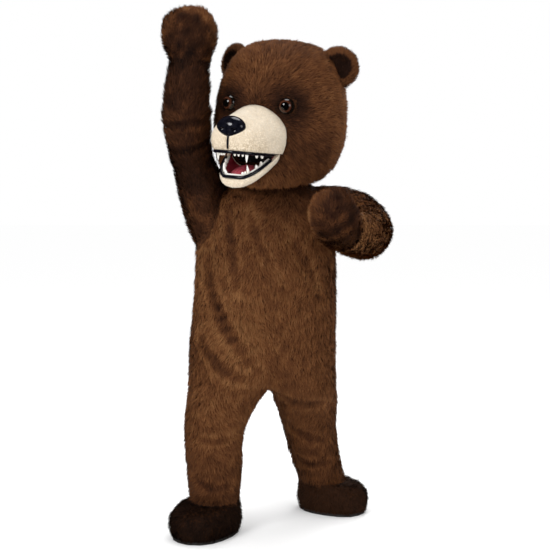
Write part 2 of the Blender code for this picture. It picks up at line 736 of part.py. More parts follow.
def loft(name, sections, shrink, colour, roughness=0.9, back=0.0):
    """Make a closed form from upright oval sections along Y, made smaller by shrink."""
    points = []
    count = FACE_ROUND
    pinch = BRIDGE_PINCH if sections is MUZZLE else 0.0
    for i, row in enumerate(sections):
        wide = max(row["wide"] - shrink, 0.004)
        high = max(row["high"] - shrink, 0.003)
        y = row["y"] + shrink * (1 if i < 3 else 0.5) + (back if i == len(sections) - 1 else 0)
        for k in range(count):
            turn = 2 * math.pi * k / count
            c = math.cos(turn)
            s = math.sin(turn)
            power = 0.88
            narrow = 1 - pinch * max(s, 0.0) ** 2
            points.append(Vector((wide * narrow * math.copysign(abs(c) ** power, c), y,
                                  row["z"] + high * math.copysign(abs(s) ** power, s))))
    faces = [list(range(count)), [len(points) - count + k for k in reversed(range(count))]]
    for i in range(len(sections) - 1):
        for k in range(count):
            after = (k + 1) % count
            a, b = i * count + k, i * count + after
            faces.append([b, a, a + count, b + count])
    return solid(name, points, faces, colour, roughness)


def slab(z, slope, above):
    """Make a large block whose face is the plane of a mouth edge."""
    half = 0.5
    made = block("slab", (0, 0, half if above else -half), (half, half, half), BLACK)
    made.data.transform(Matrix.Translation((0, -0.2, z)) @ Matrix.Rotation(slope, 4, 'X'))
    return made


def block(name, middle, half, colour, roughness=0.6, metallic=0.0):
    """Make a plain block from its middle and half sizes."""
    corners = [Vector((middle[0] + x * half[0], middle[1] + y * half[1], middle[2] + z * half[2]))
               for z in (-1, 1) for x, y in ((-1, -1), (1, -1), (1, 1), (-1, 1))]
    faces = [[3, 2, 1, 0], [4, 5, 6, 7], [0, 1, 5, 4], [1, 2, 6, 5], [2, 3, 7, 6], [3, 0, 4, 7]]
    return solid(name, corners, faces, colour, roughness, metallic, sharp=30)


def ball(name, middle, radii, colour, roughness=0.5, around=16, rows=8, frame=None):
    """Make a closed ball, stretched by its three radii."""
    points = [Vector((0, 0, -radii[2]))]
    for i in range(1, rows):
        tilt = math.pi * i / rows - math.pi / 2
        for k in range(around):
            turn = 2 * math.pi * k / around
            points.append(Vector((radii[0] * math.cos(tilt) * math.cos(turn),
                                  radii[1] * math.cos(tilt) * math.sin(turn),
                                  radii[2] * math.sin(tilt))))
    points.append(Vector((0, 0, radii[2])))
    faces = []
    for k in range(around):
        after = (k + 1) % around
        faces.append([0, 1 + after, 1 + k])
        for i in range(rows - 2):
            a = 1 + i * around
            faces.append([a + k, a + after, a + around + after, a + around + k])
        top = 1 + (rows - 2) * around
        faces.append([top + k, top + after, len(points) - 1])
    turned = frame if frame is not None else Matrix.Identity(4)
    points = [turned @ point + Vector(middle) for point in points]
    return solid(name, points, faces, colour, roughness)


def prism(name, wide, high, z, y0, y1, colour):
    """Make an oval prism along Y, as the mouth's hole and the screen in it are shaped."""
    count = 20
    points = []
    for y in (y0, y1):
        for k in range(count):
            turn = 2 * math.pi * k / count
            points.append(Vector((wide * math.cos(turn), y, z + high * math.sin(turn))))
    faces = [list(range(count)), [count + k for k in reversed(range(count))]]
    for k in range(count):
        after = (k + 1) % count
        faces.append([after, k, k + count, after + count])
    return solid(name, points, faces, colour, 0.9, sharp=30)


def face_cup(name, sections, cut_plane, above, colour, roughness):
    """Make the muzzle or the jaw: an open cup whose root is fitted to the head."""
    cup = loft(name, sections, 0.0, colour, roughness)
    combine(cup, loft("hollow", sections, MUZZLE_WALL, colour, back=0.05))
    combine(cup, slab(cut_plane["z"], cut_plane["slope"], above))
    return combine(cup, head_solid("fit", GAP, colour))


def lining(name, sections, cut_plane, above):
    """Make the red skin inside the muzzle or the jaw."""
    skin = loft(name, sections, MUZZLE_WALL + GAP, RED, 0.35, back=0.05)
    combine(skin, loft("hollow", sections, MUZZLE_WALL + LINING_WALL, RED, back=0.05))
    combine(skin, slab(cut_plane["z"], cut_plane["slope"], above))
    return combine(skin, head_solid("fit", GAP, RED))


head_pieces = []
head = head_solid("head", 0.0, BROWN, HEAD_WALL)
combine(head, prism("hole", MOUTH_HOLE["wide"], MOUTH_HOLE["high"], MOUTH_HOLE["z"], -0.35, -0.08,
                    BLACK))
head_pieces.append(prism("vision_screen", MOUTH_HOLE["wide"] - GAP, MOUTH_HOLE["high"] - GAP,
                         MOUTH_HOLE["z"], SCREEN_Y - SCREEN_THICK / 2,
                         SCREEN_Y + SCREEN_THICK / 2, BLACK))

# Eyes: glass balls sunk in the face. The middles lie just behind the head's surface.
EYE_RADIUS = 0.031
EYES = {"right": Vector((-0.118, -0.198, 0.018)), "left": Vector((0.118, -0.198, 0.018))}
for word, eye_middle in EYES.items():
    combine(head, ball("socket", eye_middle, [EYE_RADIUS + 2 * GAP] * 3, BLACK, around=14, rows=7))
    head_pieces.append(ball(f"eye_{word}", eye_middle, [EYE_RADIUS] * 3, GLASS_BROWN, 0.1,
                            around=14, rows=7))

# Ears: thick cups that face forward and outward, fitted to the head
EAR_RADIUS = 0.080
EAR_DEPTH = 0.030
EAR_CUP = 0.052
EARS = {"right": -1, "left": 1}
EAR_OUT = {"right": 0.232, "left": 0.216}
for word, ear_side in EARS.items():
    middle = Vector((ear_side * EAR_OUT[word], 0.030, 0.185))
    turned = (Matrix.Rotation(ear_side * math.radians(22), 4, 'Z')
              @ Matrix.Rotation(ear_side * math.radians(28), 4, 'Y'))
    ear = ball(f"ear_{word}", middle, (EAR_RADIUS, EAR_DEPTH, EAR_RADIUS), BROWN, 0.9,
               around=16, rows=9, frame=turned)
    cup_at = middle + turned @ Vector((0, -EAR_DEPTH * 1.25, 0.004))
    combine(ear, ball("cup", cup_at, (EAR_CUP, EAR_DEPTH, EAR_CUP), BROWN, around=14, rows=7,
                      frame=turned))
    head_pieces.append(combine(ear, head_solid("fit", GAP, BROWN)))

muzzle = face_cup("muzzle", MUZZLE, MUZZLE_CUT, False, CREAM, 0.85)
jaw = face_cup("lower_jaw", JAW, JAW_CUT, True, CREAM, 0.85)
palate = lining("palate", MUZZLE, MUZZLE_CUT, False)
mouth_floor = lining("mouth_floor", JAW, JAW_CUT, True)
for form, cup in ((muzzle, jaw), (palate, mouth_floor)):
    head_pieces += [form, cup]

# Nose: a rounded pad on the muzzle's tip, cut to the muzzle's own form
nose = ball("nose", (0, -0.396, -0.076), (0.057, 0.036, 0.040), BLACK, 0.15, around=16, rows=8)
head_pieces.append(combine(nose, loft("fit", MUZZLE, -GAP, BLACK)))

# Tongue: rests on the mouth's floor
tongue = ball("tongue", (0, -0.280, -0.246), (0.052, 0.068, 0.016), RED, 0.3, around=14, rows=6,
              frame=Matrix.Rotation(JAW_CUT["slope"], 4, 'X'))
combine(tongue, head_solid("fit", GAP, RED))
combine(tongue, loft("fit", JAW, MUZZLE_WALL + LINING_WALL + GAP, RED, back=0.05), 'INTERSECT')
head_pieces.append(tongue)


def lip_path(sections, cut_plane, inset, drop, start):
    """Follow the edge of a cup round its front, from one corner of the mouth to the other."""
    steps = 16
    front = sections[0]["y"] + inset
    path = []
    for i in range(steps + 1):
        turn = math.pi * i / steps
        y = start + (front - start) * math.sin(turn) ** 0.9
        edge_z = cut_plane["z"] + math.tan(cut_plane["slope"]) * (y + 0.2)
        wide = column(sections, "y", "wide", y)
        high = column(sections, "y", "high", y)
        level = min(abs(edge_z - column(sections, "y", "z", y)) / high, 0.95)
        reach = max(wide * (1 - level ** SECTION_POWER) ** (1 / SECTION_POWER) - inset, 0.0)
        limit = (column(sections, "y", "wide", start) - inset) * abs(math.cos(turn)) ** 0.5
        path.append(Vector((math.copysign(min(reach, limit), math.cos(turn)), y, edge_z + drop)))
    return path


def edge_turn(cut_plane):
    """Give the turn that lays a level direction along a cup's edge."""
    return Matrix.Rotation(cut_plane["slope"], 3, 'X')


def inside_path(path, distance, turned):
    """Move a path sideways along its cup's edge, towards the inside of the mouth."""
    moved = []
    for i, spot in enumerate(path):
        way = (path[min(i + 1, len(path) - 1)] - path[max(i - 1, 0)]).normalized()
        across = way.cross(turned @ Vector((0, 0, 1))).normalized()
        middle = Vector((0, path[0].y, spot.z))
        if across.dot(middle - spot) < 0:
            across.negate()
        moved.append(spot + across * distance)
    return moved


def tube(name, path, radius, colour, roughness, sides=8):
    """Make a closed tube along a path that lies nearly level."""
    points = []
    for i, spot in enumerate(path):
        head_way = (path[min(i + 1, len(path) - 1)] - path[max(i - 1, 0)]).normalized()
        across = head_way.cross(Vector((0, 0, 1))).normalized()
        for k in range(sides):
            turn = 2 * math.pi * k / sides
            points.append(spot + across * radius * math.cos(turn)
                          + Vector((0, 0, 1)) * radius * math.sin(turn))
    count = len(path)
    faces = [list(range(sides)), [(count - 1) * sides + k for k in reversed(range(sides))]]
    for i in range(count - 1):
        for k in range(sides):
            after = (k + 1) % sides
            a, b = i * sides + k, i * sides + after
            faces.append([b, a, a + sides, b + sides])
    made = solid(name, points, faces, colour, roughness)
    face_outward(made)
    return made


LIP_RADIUS = 0.006
LIP_INSET = 0.0065
MOUTH_CORNER_Y = -0.240
upper_path = lip_path(MUZZLE, MUZZLE_CUT, LIP_INSET, -LIP_RADIUS - GAP, MOUTH_CORNER_Y)
lower_path = lip_path(JAW, JAW_CUT, LIP_INSET, (LIP_RADIUS + GAP) / math.cos(JAW_CUT["slope"]),
                      MOUTH_CORNER_Y)
upper_lip = tube("upper_lip", upper_path, LIP_RADIUS, BLACK, 0.2)
lower_lip = tube("lower_lip", lower_path, LIP_RADIUS, BLACK, 0.2)


def teeth(name, path, places, way, gum_radius, turned):
    """Make a gum with its teeth as one solid. Places: point of the path, radius, length."""
    gum = tube(name, path, gum_radius, IVORY, 0.3, sides=4)
    for place in places:
        whole = place["at"] * (len(path) - 1)
        low = min(int(whole), len(path) - 2)
        spot = path[low].lerp(path[low + 1], whole - low)
        tip = spot + turned @ Vector((0, 0, way * place["long"]))
        around = 5
        ring = [spot + turned @ Vector((place["wide"] * math.cos(2 * math.pi * k / around),
                                        place["wide"] * math.sin(2 * math.pi * k / around), 0))
                for k in range(around)]
        waist = [spot.lerp(tip, 0.6) + (point - spot) * place["blunt"] for point in ring]
        points = ring + waist + [tip]
        faces = [list(range(around))[::-1]]
        for k in range(around):
            after = (k + 1) % around
            faces.append([k, after, after + around, k + around])
            faces.append([k + around, after + around, 2 * around])
        tooth = solid("tooth", points, faces, IVORY, 0.3)
        face_outward(tooth)
        combine(gum, tooth, 'UNION')
    return gum


TOOTH_COLUMNS = ("at", "wide", "long", "blunt")
CANINE_AT = 0.30
INCISORS = 3
GUM_RADIUS = 0.0045
tooth_rows = [(CANINE_AT, 0.0072, 0.034, 0.62), (1 - CANINE_AT, 0.0072, 0.034, 0.62)]
for i in range(INCISORS):
    spread = 0.045 + 0.05 * i
    tooth_rows.append((0.5 - spread, 0.0052, 0.014, 0.80))
    tooth_rows.append((0.5 + spread, 0.0052, 0.014, 0.80))
for i in range(2):
    tooth_rows.append((0.17 - 0.07 * i, 0.0068, 0.016, 0.75))
    tooth_rows.append((0.83 + 0.07 * i, 0.0068, 0.016, 0.75))
TEETH = rows_of(TOOTH_COLUMNS, sorted(tooth_rows))
GUM_AWAY = LIP_RADIUS + max(place["wide"] for place in TEETH) + GAP
upper_turn = edge_turn(MUZZLE_CUT)
lower_turn = edge_turn(JAW_CUT)
upper_teeth = teeth("upper_teeth", inside_path(upper_path, GUM_AWAY, upper_turn), TEETH, -1,
                    GUM_RADIUS, upper_turn)
lower_teeth = teeth("lower_teeth", inside_path(lower_path, GUM_AWAY, lower_turn), TEETH, 1,
                    GUM_RADIUS, lower_turn)
head_pieces += [upper_lip, lower_lip, upper_teeth, lower_teeth]

# The head's shell is sewn and glued from a face half and a back half, joined over the ears
HEAD_SEAM_Y = 0.004
for name, side in (("head_front", 1), ("head_back", -1)):
    half_head = head.copy()
    half_head.data = head.data.copy()
    half_head.name = name
    bpy.context.scene.collection.objects.link(half_head)
    beyond = block("beyond", (0, HEAD_SEAM_Y + side * (0.5 - GAP / 2), 0), (0.6, 0.5, 0.5), BROWN)
    head_pieces.append(combine(half_head, beyond))
bpy.data.objects.remove(head)
for made in head_pieces:
    made.data.transform(HEAD_FRAME)

# The zip down the middle of the back, on the seam between the two back panels
ZIP_LOW = 0.795
ZIP_HALF = 0.013
ZIP_THICK = 0.002
ZIP_OFF = 0.0006          # the tape lies this far off the panels
SLIDER_Z = 1.366
SLIDER_HALF = (0.0055, 0.0026, 0.0090)   # across, out from the back, along the zip
PULL_PIVOT_OUT = 0.0037   # from the tape's face to the pull tab's axis
PULL_PIVOT_ALONG = -0.0020
PULL_HEAD = 0.0013
PULL_NECK = 0.0023        # half width inside the slider's slot
PULL_WIDE = 0.0046
PULL_LONG = 0.034
PULL_THICK = 0.0014
SLOT_HALF = PULL_NECK + GAP

zip_middles = []
zip_points = []
for row, (right_row, left_row) in enumerate(zip(right_grids["back"], left_grids["back"])):
    middle = suit.points[right_row[0]]
    if middle.z < ZIP_LOW:
        continue
    out = suit_normals[right_row[0]]
    zip_middles.append(middle + out * (ZIP_OFF + ZIP_THICK))
    to_right = (suit.points[right_row[1]] - middle).normalized() * ZIP_HALF
    to_left = (suit.points[left_row[1]] - middle).normalized() * ZIP_HALF
    for lift in (ZIP_OFF, ZIP_OFF + ZIP_THICK):
        zip_points += [middle + reach + out * lift for reach in (to_right, Vector(), to_left)]
zip_faces = []
zip_rows = len(zip_middles)
ZIP_RING = (0, 1, 2, 5, 4, 3)
for i in range(zip_rows - 1):
    for k in range(6):
        a = ZIP_RING[k]
        b = ZIP_RING[(k + 1) % 6]
        zip_faces.append([6 * i + a, 6 * i + b, 6 * (i + 1) + b, 6 * (i + 1) + a])
zip_faces.append([k for k in reversed(ZIP_RING)])
zip_faces.append([6 * (zip_rows - 1) + k for k in ZIP_RING])
zip_tape = solid("zip_tape", zip_points, zip_faces, DARK_BROWN, sharp=30)
face_outward(zip_tape)

above = next(i for i, spot in enumerate(zip_middles) if spot.z > SLIDER_Z)
zip_up = (zip_middles[above] - zip_middles[above - 1]).normalized()
share = (SLIDER_Z - zip_middles[above - 1].z) / (zip_middles[above].z - zip_middles[above - 1].z)
slider_at = zip_middles[above - 1].lerp(zip_middles[above], share)
zip_across = Vector((1, 0, 0))
zip_out = zip_up.cross(zip_across).normalized()
SLIDER_FRAME = Matrix((zip_across, zip_out, zip_up)).transposed().to_4x4()
SLIDER_FRAME.translation = slider_at

slider = block("zip_slider", (0, SLIDER_HALF[1] + 2 * GAP, 0), SLIDER_HALF, METAL, 0.35, 1.0)
slot_low = 0.0016
combine(slider, block("slot", (0, slot_low + 0.01, -0.0145), (SLOT_HALF, 0.01, 0.0160), METAL))
slider.data.transform(SLIDER_FRAME)

pull_outline = [(-PULL_NECK, 0), (-PULL_NECK, -0.0105), (-PULL_WIDE, -0.0130),
                (-PULL_WIDE, -PULL_LONG + 0.003), (-PULL_WIDE * 0.6, -PULL_LONG),
                (PULL_WIDE * 0.6, -PULL_LONG), (PULL_WIDE, -PULL_LONG + 0.003),
                (PULL_WIDE, -0.0130), (PULL_NECK, -0.0105), (PULL_NECK, 0)]
pull_count = len(pull_outline)
pull_points = [Vector((x, side * PULL_THICK / 2, t)) for side in (-1, 1) for x, t in pull_outline]
pull_faces = [list(range(pull_count)), [pull_count + k for k in reversed(range(pull_count))]]
for k in range(pull_count):
    after = (k + 1) % pull_count
    pull_faces.append([k, after, after + pull_count, k + pull_count])
pull = solid("zip_pull", pull_points, pull_faces, METAL, 0.35, 1.0, sharp=30)
face_outward(pull)
head_points = [Vector((x, PULL_HEAD * math.cos(math.pi * k / 4), PULL_HEAD * math.sin(math.pi * k / 4)))
               for x in (-PULL_NECK, PULL_NECK) for k in range(8)]
head_faces = [list(range(8)), [8 + k for k in reversed(range(8))]]
head_faces += [[k, (k + 1) % 8, 8 + (k + 1) % 8, 8 + k] for k in range(8)]
pull_head = solid("pull_head", head_points, head_faces, METAL)
face_outward(pull_head)
combine(pull, pull_head, 'UNION')
PULL_PIVOT = SLIDER_FRAME @ Vector((0, PULL_PIVOT_OUT, PULL_PIVOT_ALONG))
pull.data.transform(SLIDER_FRAME @ Matrix.Translation((0, PULL_PIVOT_OUT, PULL_PIVOT_ALONG)))


def carrier(name, at, parent):
    """Make an empty that carries pieces."""
    made = bpy.data.objects.new(name, None)
    bpy.context.scene.collection.objects.link(made)
    made.location = at
    made.parent = parent
    return made


def attach(made, to, at):
    """Hang a piece on a carrier, with the piece's origin at the carrier's place."""
    made.data.transform(Matrix.Translation(-Vector(at)))
    made.parent = to


# The wearer's shoulders are the origin
root = carrier("costume", -HOLD, None)
head_carrier = carrier("head_lift_axis", HEAD_MIDDLE, root)
pull_carrier = carrier("zip_pull_axis", PULL_PIVOT, root)
for made in suit_pieces + [zip_tape, slider]:
    attach(made, root, (0, 0, 0))
for made in head_pieces:
    attach(made, head_carrier, HEAD_MIDDLE)
attach(pull, pull_carrier, PULL_PIVOT)
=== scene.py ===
"""Looks of the bear mascot costume: fur, face, zip and a plain studio.

Metres. Cloth is rebuilt on the solids' own form, finer, a little under their surface, and
joined meshes of fur strands stand on it. Heights in the tables are above the floor.
"""
import json
import math

import bmesh
import bpy
import numpy as np
from mathutils import Matrix, Vector

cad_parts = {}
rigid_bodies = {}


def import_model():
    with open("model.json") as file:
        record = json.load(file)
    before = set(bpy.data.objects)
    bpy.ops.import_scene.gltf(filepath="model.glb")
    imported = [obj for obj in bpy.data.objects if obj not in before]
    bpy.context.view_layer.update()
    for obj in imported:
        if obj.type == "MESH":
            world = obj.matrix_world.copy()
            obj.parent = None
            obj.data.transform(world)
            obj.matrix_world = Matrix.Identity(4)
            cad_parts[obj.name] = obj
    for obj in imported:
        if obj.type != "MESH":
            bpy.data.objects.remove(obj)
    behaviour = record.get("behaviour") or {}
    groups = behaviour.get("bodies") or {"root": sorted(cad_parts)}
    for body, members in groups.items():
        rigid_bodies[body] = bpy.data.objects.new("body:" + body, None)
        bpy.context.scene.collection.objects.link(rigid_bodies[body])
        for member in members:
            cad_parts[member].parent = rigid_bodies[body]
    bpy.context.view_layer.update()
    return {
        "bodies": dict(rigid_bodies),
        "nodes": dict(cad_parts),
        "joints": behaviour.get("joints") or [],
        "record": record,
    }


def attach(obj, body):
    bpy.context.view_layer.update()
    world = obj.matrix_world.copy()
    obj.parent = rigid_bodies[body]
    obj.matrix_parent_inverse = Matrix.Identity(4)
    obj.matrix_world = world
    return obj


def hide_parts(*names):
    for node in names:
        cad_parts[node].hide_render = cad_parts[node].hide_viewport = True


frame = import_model()

HOLD = Vector((-0.02, 0.12, 1.40))        # the origin's place above the floor
FLOOR_Z = -HOLD.z
SKIN_DEEP = 0.0085        # how far the cloth lies under the solids' surface, for the pile
SKIN_WALL = 0.0025
SEAM = 0.0003
SECTION_POWER = 2.2
CROTCH_Z = 0.558
PANEL_COLUMNS = 26
ARMHOLE_STEPS = 18
ROUND = 2 * ARMHOLE_STEPS
FINER = 3                 # rows made between the tables' own rows
CLOSE = 0.0001            # heights nearer than this are the same
rng = np.random.default_rng(11)


def rows_of(names, rows):
    """Turn short rows of numbers into a table with named columns."""
    return [dict(zip(names, row)) for row in rows]


def step(t):
    """Go smoothly from 0 to 1."""
    t = min(max(t, 0.0), 1.0)
    return t * t * (3 - 2 * t)


def signed_power(value, power):
    """Raise a value's size to a power and keep its sign."""
    return math.copysign(abs(value) ** power, value)


def turns_round(count):
    """Give evenly spread turns of one circle."""
    return [2 * math.pi * k / count for k in range(count)]


def near(values, middle, reach):
    """Give 1 where the values are at the middle, and less away from it."""
    return np.exp(-((values - middle) / reach) ** 2)


def rise(values, start, over):
    """Grow from 0 to 1 as the values fall below the start."""
    return np.clip((start - values) / over, 0, 1)


def column(table, key, name, at):
    """Read one column of a table at a value of its key, on a smooth curve through the rows."""
    keys = [row[key] for row in table]
    values = [row[name] for row in table]
    at = min(max(at, keys[0]), keys[-1])
    last = len(keys) - 1
    low = max(i for i in range(last) if keys[i] <= at or i == 0)

    def slope(i):
        before = max(i - 1, 0)
        after = min(i + 1, last)
        return (values[after] - values[before]) / (keys[after] - keys[before])

    width = keys[low + 1] - keys[low]
    t = (at - keys[low]) / width
    start = slope(low) * width
    end = slope(low + 1) * width
    return ((2 * t**3 - 3 * t**2 + 1) * values[low] + (t**3 - 2 * t**2 + t) * start
            + (3 * t**2 - 2 * t**3) * values[low + 1] + (t**3 - t**2) * end)


def finer(table, names, times):
    """Make a table with more rows on the same smooth curves."""
    numbered = [dict(row, row=i) for i, row in enumerate(table)]
    count = (len(table) - 1) * times
    return [{name: column(numbered, "row", name, i / times) for name in names}
            for i in range(count + 1)]


# The suit's sections by height, one table for each half. A section is part of an oval: x and y
# of its middle, its half width, and its depth in front of and behind the middle.
HALF_COLUMNS = ("z", "x", "y", "wide", "front", "back")
RIGHT_HALF = rows_of(HALF_COLUMNS, [
    (0.135, -0.241, 0.020, 0.098, 0.098, 0.100),
    (0.250, -0.241, 0.020, 0.108, 0.108, 0.112),
    (0.400, -0.242, 0.040, 0.119, 0.122, 0.125),
    (0.500, -0.216, 0.062, 0.139, 0.146, 0.148),
    (0.558, -0.188, 0.085, 0.160, 0.165, 0.165),
    (0.650, -0.112, 0.105, 0.234, 0.195, 0.190),
    (0.740, -0.045, 0.110, 0.298, 0.212, 0.200),
    (0.920, -0.040, 0.110, 0.285, 0.215, 0.195),
    (1.080, -0.036, 0.110, 0.280, 0.205, 0.190),
    (1.160, -0.034, 0.112, 0.280, 0.193, 0.186),
    (1.240, -0.030, 0.115, 0.272, 0.176, 0.178),
    (1.310, -0.026, 0.118, 0.238, 0.155, 0.165),
    (1.350, -0.022, 0.120, 0.200, 0.138, 0.148),
    (1.380, -0.020, 0.120, 0.160, 0.120, 0.132),
    (1.405, -0.020, 0.120, 0.112, 0.100, 0.110),
])
LEFT_HALF = rows_of(HALF_COLUMNS, [
    (0.135, 0.200, 0.322, 0.098, 0.098, 0.096),
    (0.250, 0.168, 0.278, 0.103, 0.104, 0.104),
    (0.400, 0.140, 0.225, 0.113, 0.116, 0.116),
    (0.500, 0.126, 0.170, 0.128, 0.138, 0.136),
    (0.558, 0.110, 0.125, 0.138, 0.160, 0.156),
    (0.650, 0.030, 0.112, 0.214, 0.192, 0.186),
    (0.740, -0.045, 0.110, 0.288, 0.212, 0.200),
    (0.920, -0.040, 0.110, 0.284, 0.215, 0.195),
    (1.080, -0.036, 0.110, 0.278, 0.205, 0.190),
    (1.160, -0.034, 0.112, 0.274, 0.193, 0.186),
    (1.240, -0.030, 0.115, 0.266, 0.176, 0.178),
    (1.310, -0.026, 0.118, 0.240, 0.155, 0.165),
    (1.350, -0.022, 0.120, 0.205, 0.138, 0.148),
    (1.380, -0.020, 0.120, 0.162, 0.120, 0.132),
    (1.405, -0.020, 0.120, 0.112, 0.100, 0.110),
])
MIDDLE = rows_of(("z", "x"), [(0.558, -0.028), (0.740, -0.045), (1.080, -0.036), (1.405, -0.020)])

# Both armholes: their middle height, half height and how far round the section they reach
ARMHOLE = {"z": 1.250, "half": 0.125, "turn": math.radians(44)}
LEG_ROWS = (0.135, 0.175, 0.215, 0.260, 0.305, 0.350, 0.395, 0.435, 0.475, 0.515)
BODY_ROWS = (0.558, 0.580, 0.612, 0.650, 0.695, 0.745, 0.800, 0.855, 0.910, 0.965, 1.020, 1.075)
TOP_ROWS = (1.390, 1.405)

# The main creases of the suit: three points each as seen from the front or back, and the
# trough's depth and half width
FOLD_COLUMNS = ("side", "x0", "z0", "x1", "z1", "x2", "z2", "depth", "wide")
FOLDS = rows_of(FOLD_COLUMNS, [
    ("front", -0.190, 1.328, -0.175, 1.168, -0.141, 0.962, 0.012, 0.026),
    ("front", -0.262, 1.191, -0.228, 0.919, -0.025, 0.625, 0.017, 0.028),
    ("front", -0.095, 1.309, -0.069, 1.187, 0.008, 1.035, 0.009, 0.024),
    ("front", 0.057, 1.206, 0.107, 1.111, 0.180, 0.981, 0.010, 0.026),
    ("front", -0.299, 0.846, -0.238, 0.707, -0.060, 0.618, 0.012, 0.030),
    ("front", 0.020, 0.418, 0.122, 0.371, 0.240, 0.338, 0.010, 0.022),
    ("front", 0.050, 0.276, 0.145, 0.238, 0.270, 0.254, 0.010, 0.020),
    ("front", -0.325, 0.261, -0.248, 0.214, -0.140, 0.226, 0.009, 0.020),
    ("front", -0.344, 0.434, -0.251, 0.395, -0.124, 0.426, 0.008, 0.022),
    ("front", 0.000, 0.580, 0.099, 0.520, 0.233, 0.536, 0.010, 0.024),
    ("back", -0.200, 1.300, -0.150, 1.180, -0.120, 1.020, 0.010, 0.028),
    ("back", 0.150, 1.310, 0.120, 1.160, 0.140, 1.010, 0.009, 0.028),
    ("back", -0.230, 0.900, -0.150, 0.760, -0.070, 0.660, 0.011, 0.030),
    ("back", 0.190, 0.880, 0.110, 0.740, 0.030, 0.660, 0.011, 0.030),
    ("back", -0.340, 0.420, -0.250, 0.385, -0.150, 0.410, 0.010, 0.024),
    ("back", 0.040, 0.400, 0.140, 0.370, 0.240, 0.385, 0.010, 0.024),
    ("back", -0.330, 0.240, -0.240, 0.215, -0.150, 0.235, 0.009, 0.022),
    ("back", 0.080, 0.245, 0.170, 0.220, 0.260, 0.240, 0.009, 0.022),
])
FOLD_SAMPLES = 14
FOLD_END = 0.35           # a crease's depth at its ends, as a share of its depth midway


def fold_depth(side, x, z):
    """Give how deep the creases press the suit at a place seen from the front or back."""
    total = 0.0
    for fold in FOLDS:
        if fold["side"] != side:
            continue
        best = 1.0
        along = 0.0
        for i in range(FOLD_SAMPLES + 1):
            t = i / FOLD_SAMPLES
            a, b, c = (1 - t) * (1 - 2 * t), 4 * t * (1 - t), t * (2 * t - 1)
            px = a * fold["x0"] + b * fold["x1"] + c * fold["x2"]
            pz = a * fold["z0"] + b * fold["z1"] + c * fold["z2"]
            distance = math.hypot(px - x, pz - z)
            if distance < best:
                best = distance
                along = t
        taper = FOLD_END + (1 - FOLD_END) * math.sin(math.pi * along)
        total = max(total, taper * fold["depth"] * math.exp(-(best / fold["wide"]) ** 2))
    return total


class Cloth:
    """One welded outer surface. Sewn pieces are cut from it, with a gap at each seam."""

    def __init__(self):
        self.points = []
        self.naps = []
        self.folds = []
        self.faces = []
        self.spans = {}

    def add(self, point, nap=(0, 0, -1), fold=0.0):
        """Add a point, the way its pile lies and how deep it is pressed in."""
        self.points.append(Vector(point))
        self.naps.append(Vector(nap))
        self.folds.append(fold)
        return len(self.points) - 1

    def strip(self, lower, upper, pieces, inside, closed):
        """Join two rows of points with faces that look away from the point inside."""
        count = len(lower)
        made = []
        outward = 0.0
        for k in range(count if closed else count - 1):
            after = (k + 1) % count
            corners = []
            for number in (lower[k], lower[after], upper[after], upper[k]):
                if number not in corners:
                    corners.append(number)
            if len(corners) < 3:
                continue
            made.append((pieces[k], corners))
            spots = [self.points[number] for number in corners]
            normal = (spots[1] - spots[0]).cross(spots[-1] - spots[0])
            outward += normal.dot(sum(spots, Vector()) / len(spots) - Vector(inside))
        for piece, corners in made:
            self.faces.append((piece, corners if outward > 0 else corners[::-1]))
        for piece in sorted(set(pieces)):
            mine = [k for k in range(count if closed else count - 1) if pieces[k] == piece]
            pairs = [(lower[k], lower[(k + 1) % count], upper[k]) for k in mine]
            wide = sum((self.points[a] - self.points[b]).length for a, b, _ in pairs)
            high = sum((self.points[a] - self.points[c]).length for a, _, c in pairs) / len(pairs)
            self.spans.setdefault(piece, []).append((wide, high))

    def flat_size(self, piece):
        """Give the width and length of a piece laid flat, from its rows of points."""
        rows = self.spans[piece]
        return max(wide for wide, _ in rows), sum(high for _, high in rows)

    def settle(self, deep):
        """Work out the normals and the cloth's own surface, under the pile."""
        total = [Vector() for _ in self.points]
        for _, corners in self.faces:
            spots = [self.points[number] for number in corners]
            normal = Vector()
            for i in range(1, len(spots) - 1):
                normal += (spots[i] - spots[0]).cross(spots[i + 1] - spots[0])
            for number in corners:
                total[number] += normal.normalized()
        self.normals = [vector.normalized() for vector in total]
        self.skin = [point - normal * deep for point, normal in zip(self.points, self.normals)]

    def cut(self, piece, wall):
        """Give the points and faces of one piece as a closed wall. Its outer faces come first."""
        mine = [corners for name, corners in self.faces if name == piece]
        used = sorted({number for corners in mine for number in corners})
        place = {number: i for i, number in enumerate(used)}
        edges = set()
        for corners in mine:
            edges.update(zip(corners, corners[1:] + corners[:1]))
        borders = sorted((a, b) for a, b in edges if (b, a) not in edges)
        inward = {number: Vector() for number in used}
        for a, b in borders:
            along = (self.skin[b] - self.skin[a]).normalized()
            for number in (a, b):
                inward[number] += self.normals[number].cross(along).normalized()
        outer = []
        inner = []
        for number in used:
            point = self.skin[number].copy()
            if inward[number].length > 0.1:
                point += inward[number].normalized() * SEAM * 0.6
            outer.append(point)
            inner.append(point - self.normals[number] * wall)
        shift = len(used)
        faces = [[place[number] for number in corners] for corners in mine]
        faces += [[place[number] + shift for number in corners[::-1]] for corners in mine]
        for a, b in borders:
            faces.append([place[b], place[a], place[a] + shift, place[b] + shift])
        return outer + inner, faces


def spread(values, times):
    """Put more values between the ones given."""
    out = []
    for a, b in zip(values, values[1:]):
        out += [a + (b - a) * i / times for i in range(times)]
    return out + [values[-1]]


def oval(row, turn, back):
    """Give a point of a half section: turn is 0 at the side seam and grows towards the middle."""
    power = 2 / SECTION_POWER
    y = (row["back"] if back else row["front"]) * abs(math.sin(turn)) ** power
    return row["wide"] * signed_power(math.cos(turn), power), (y if back else -y)


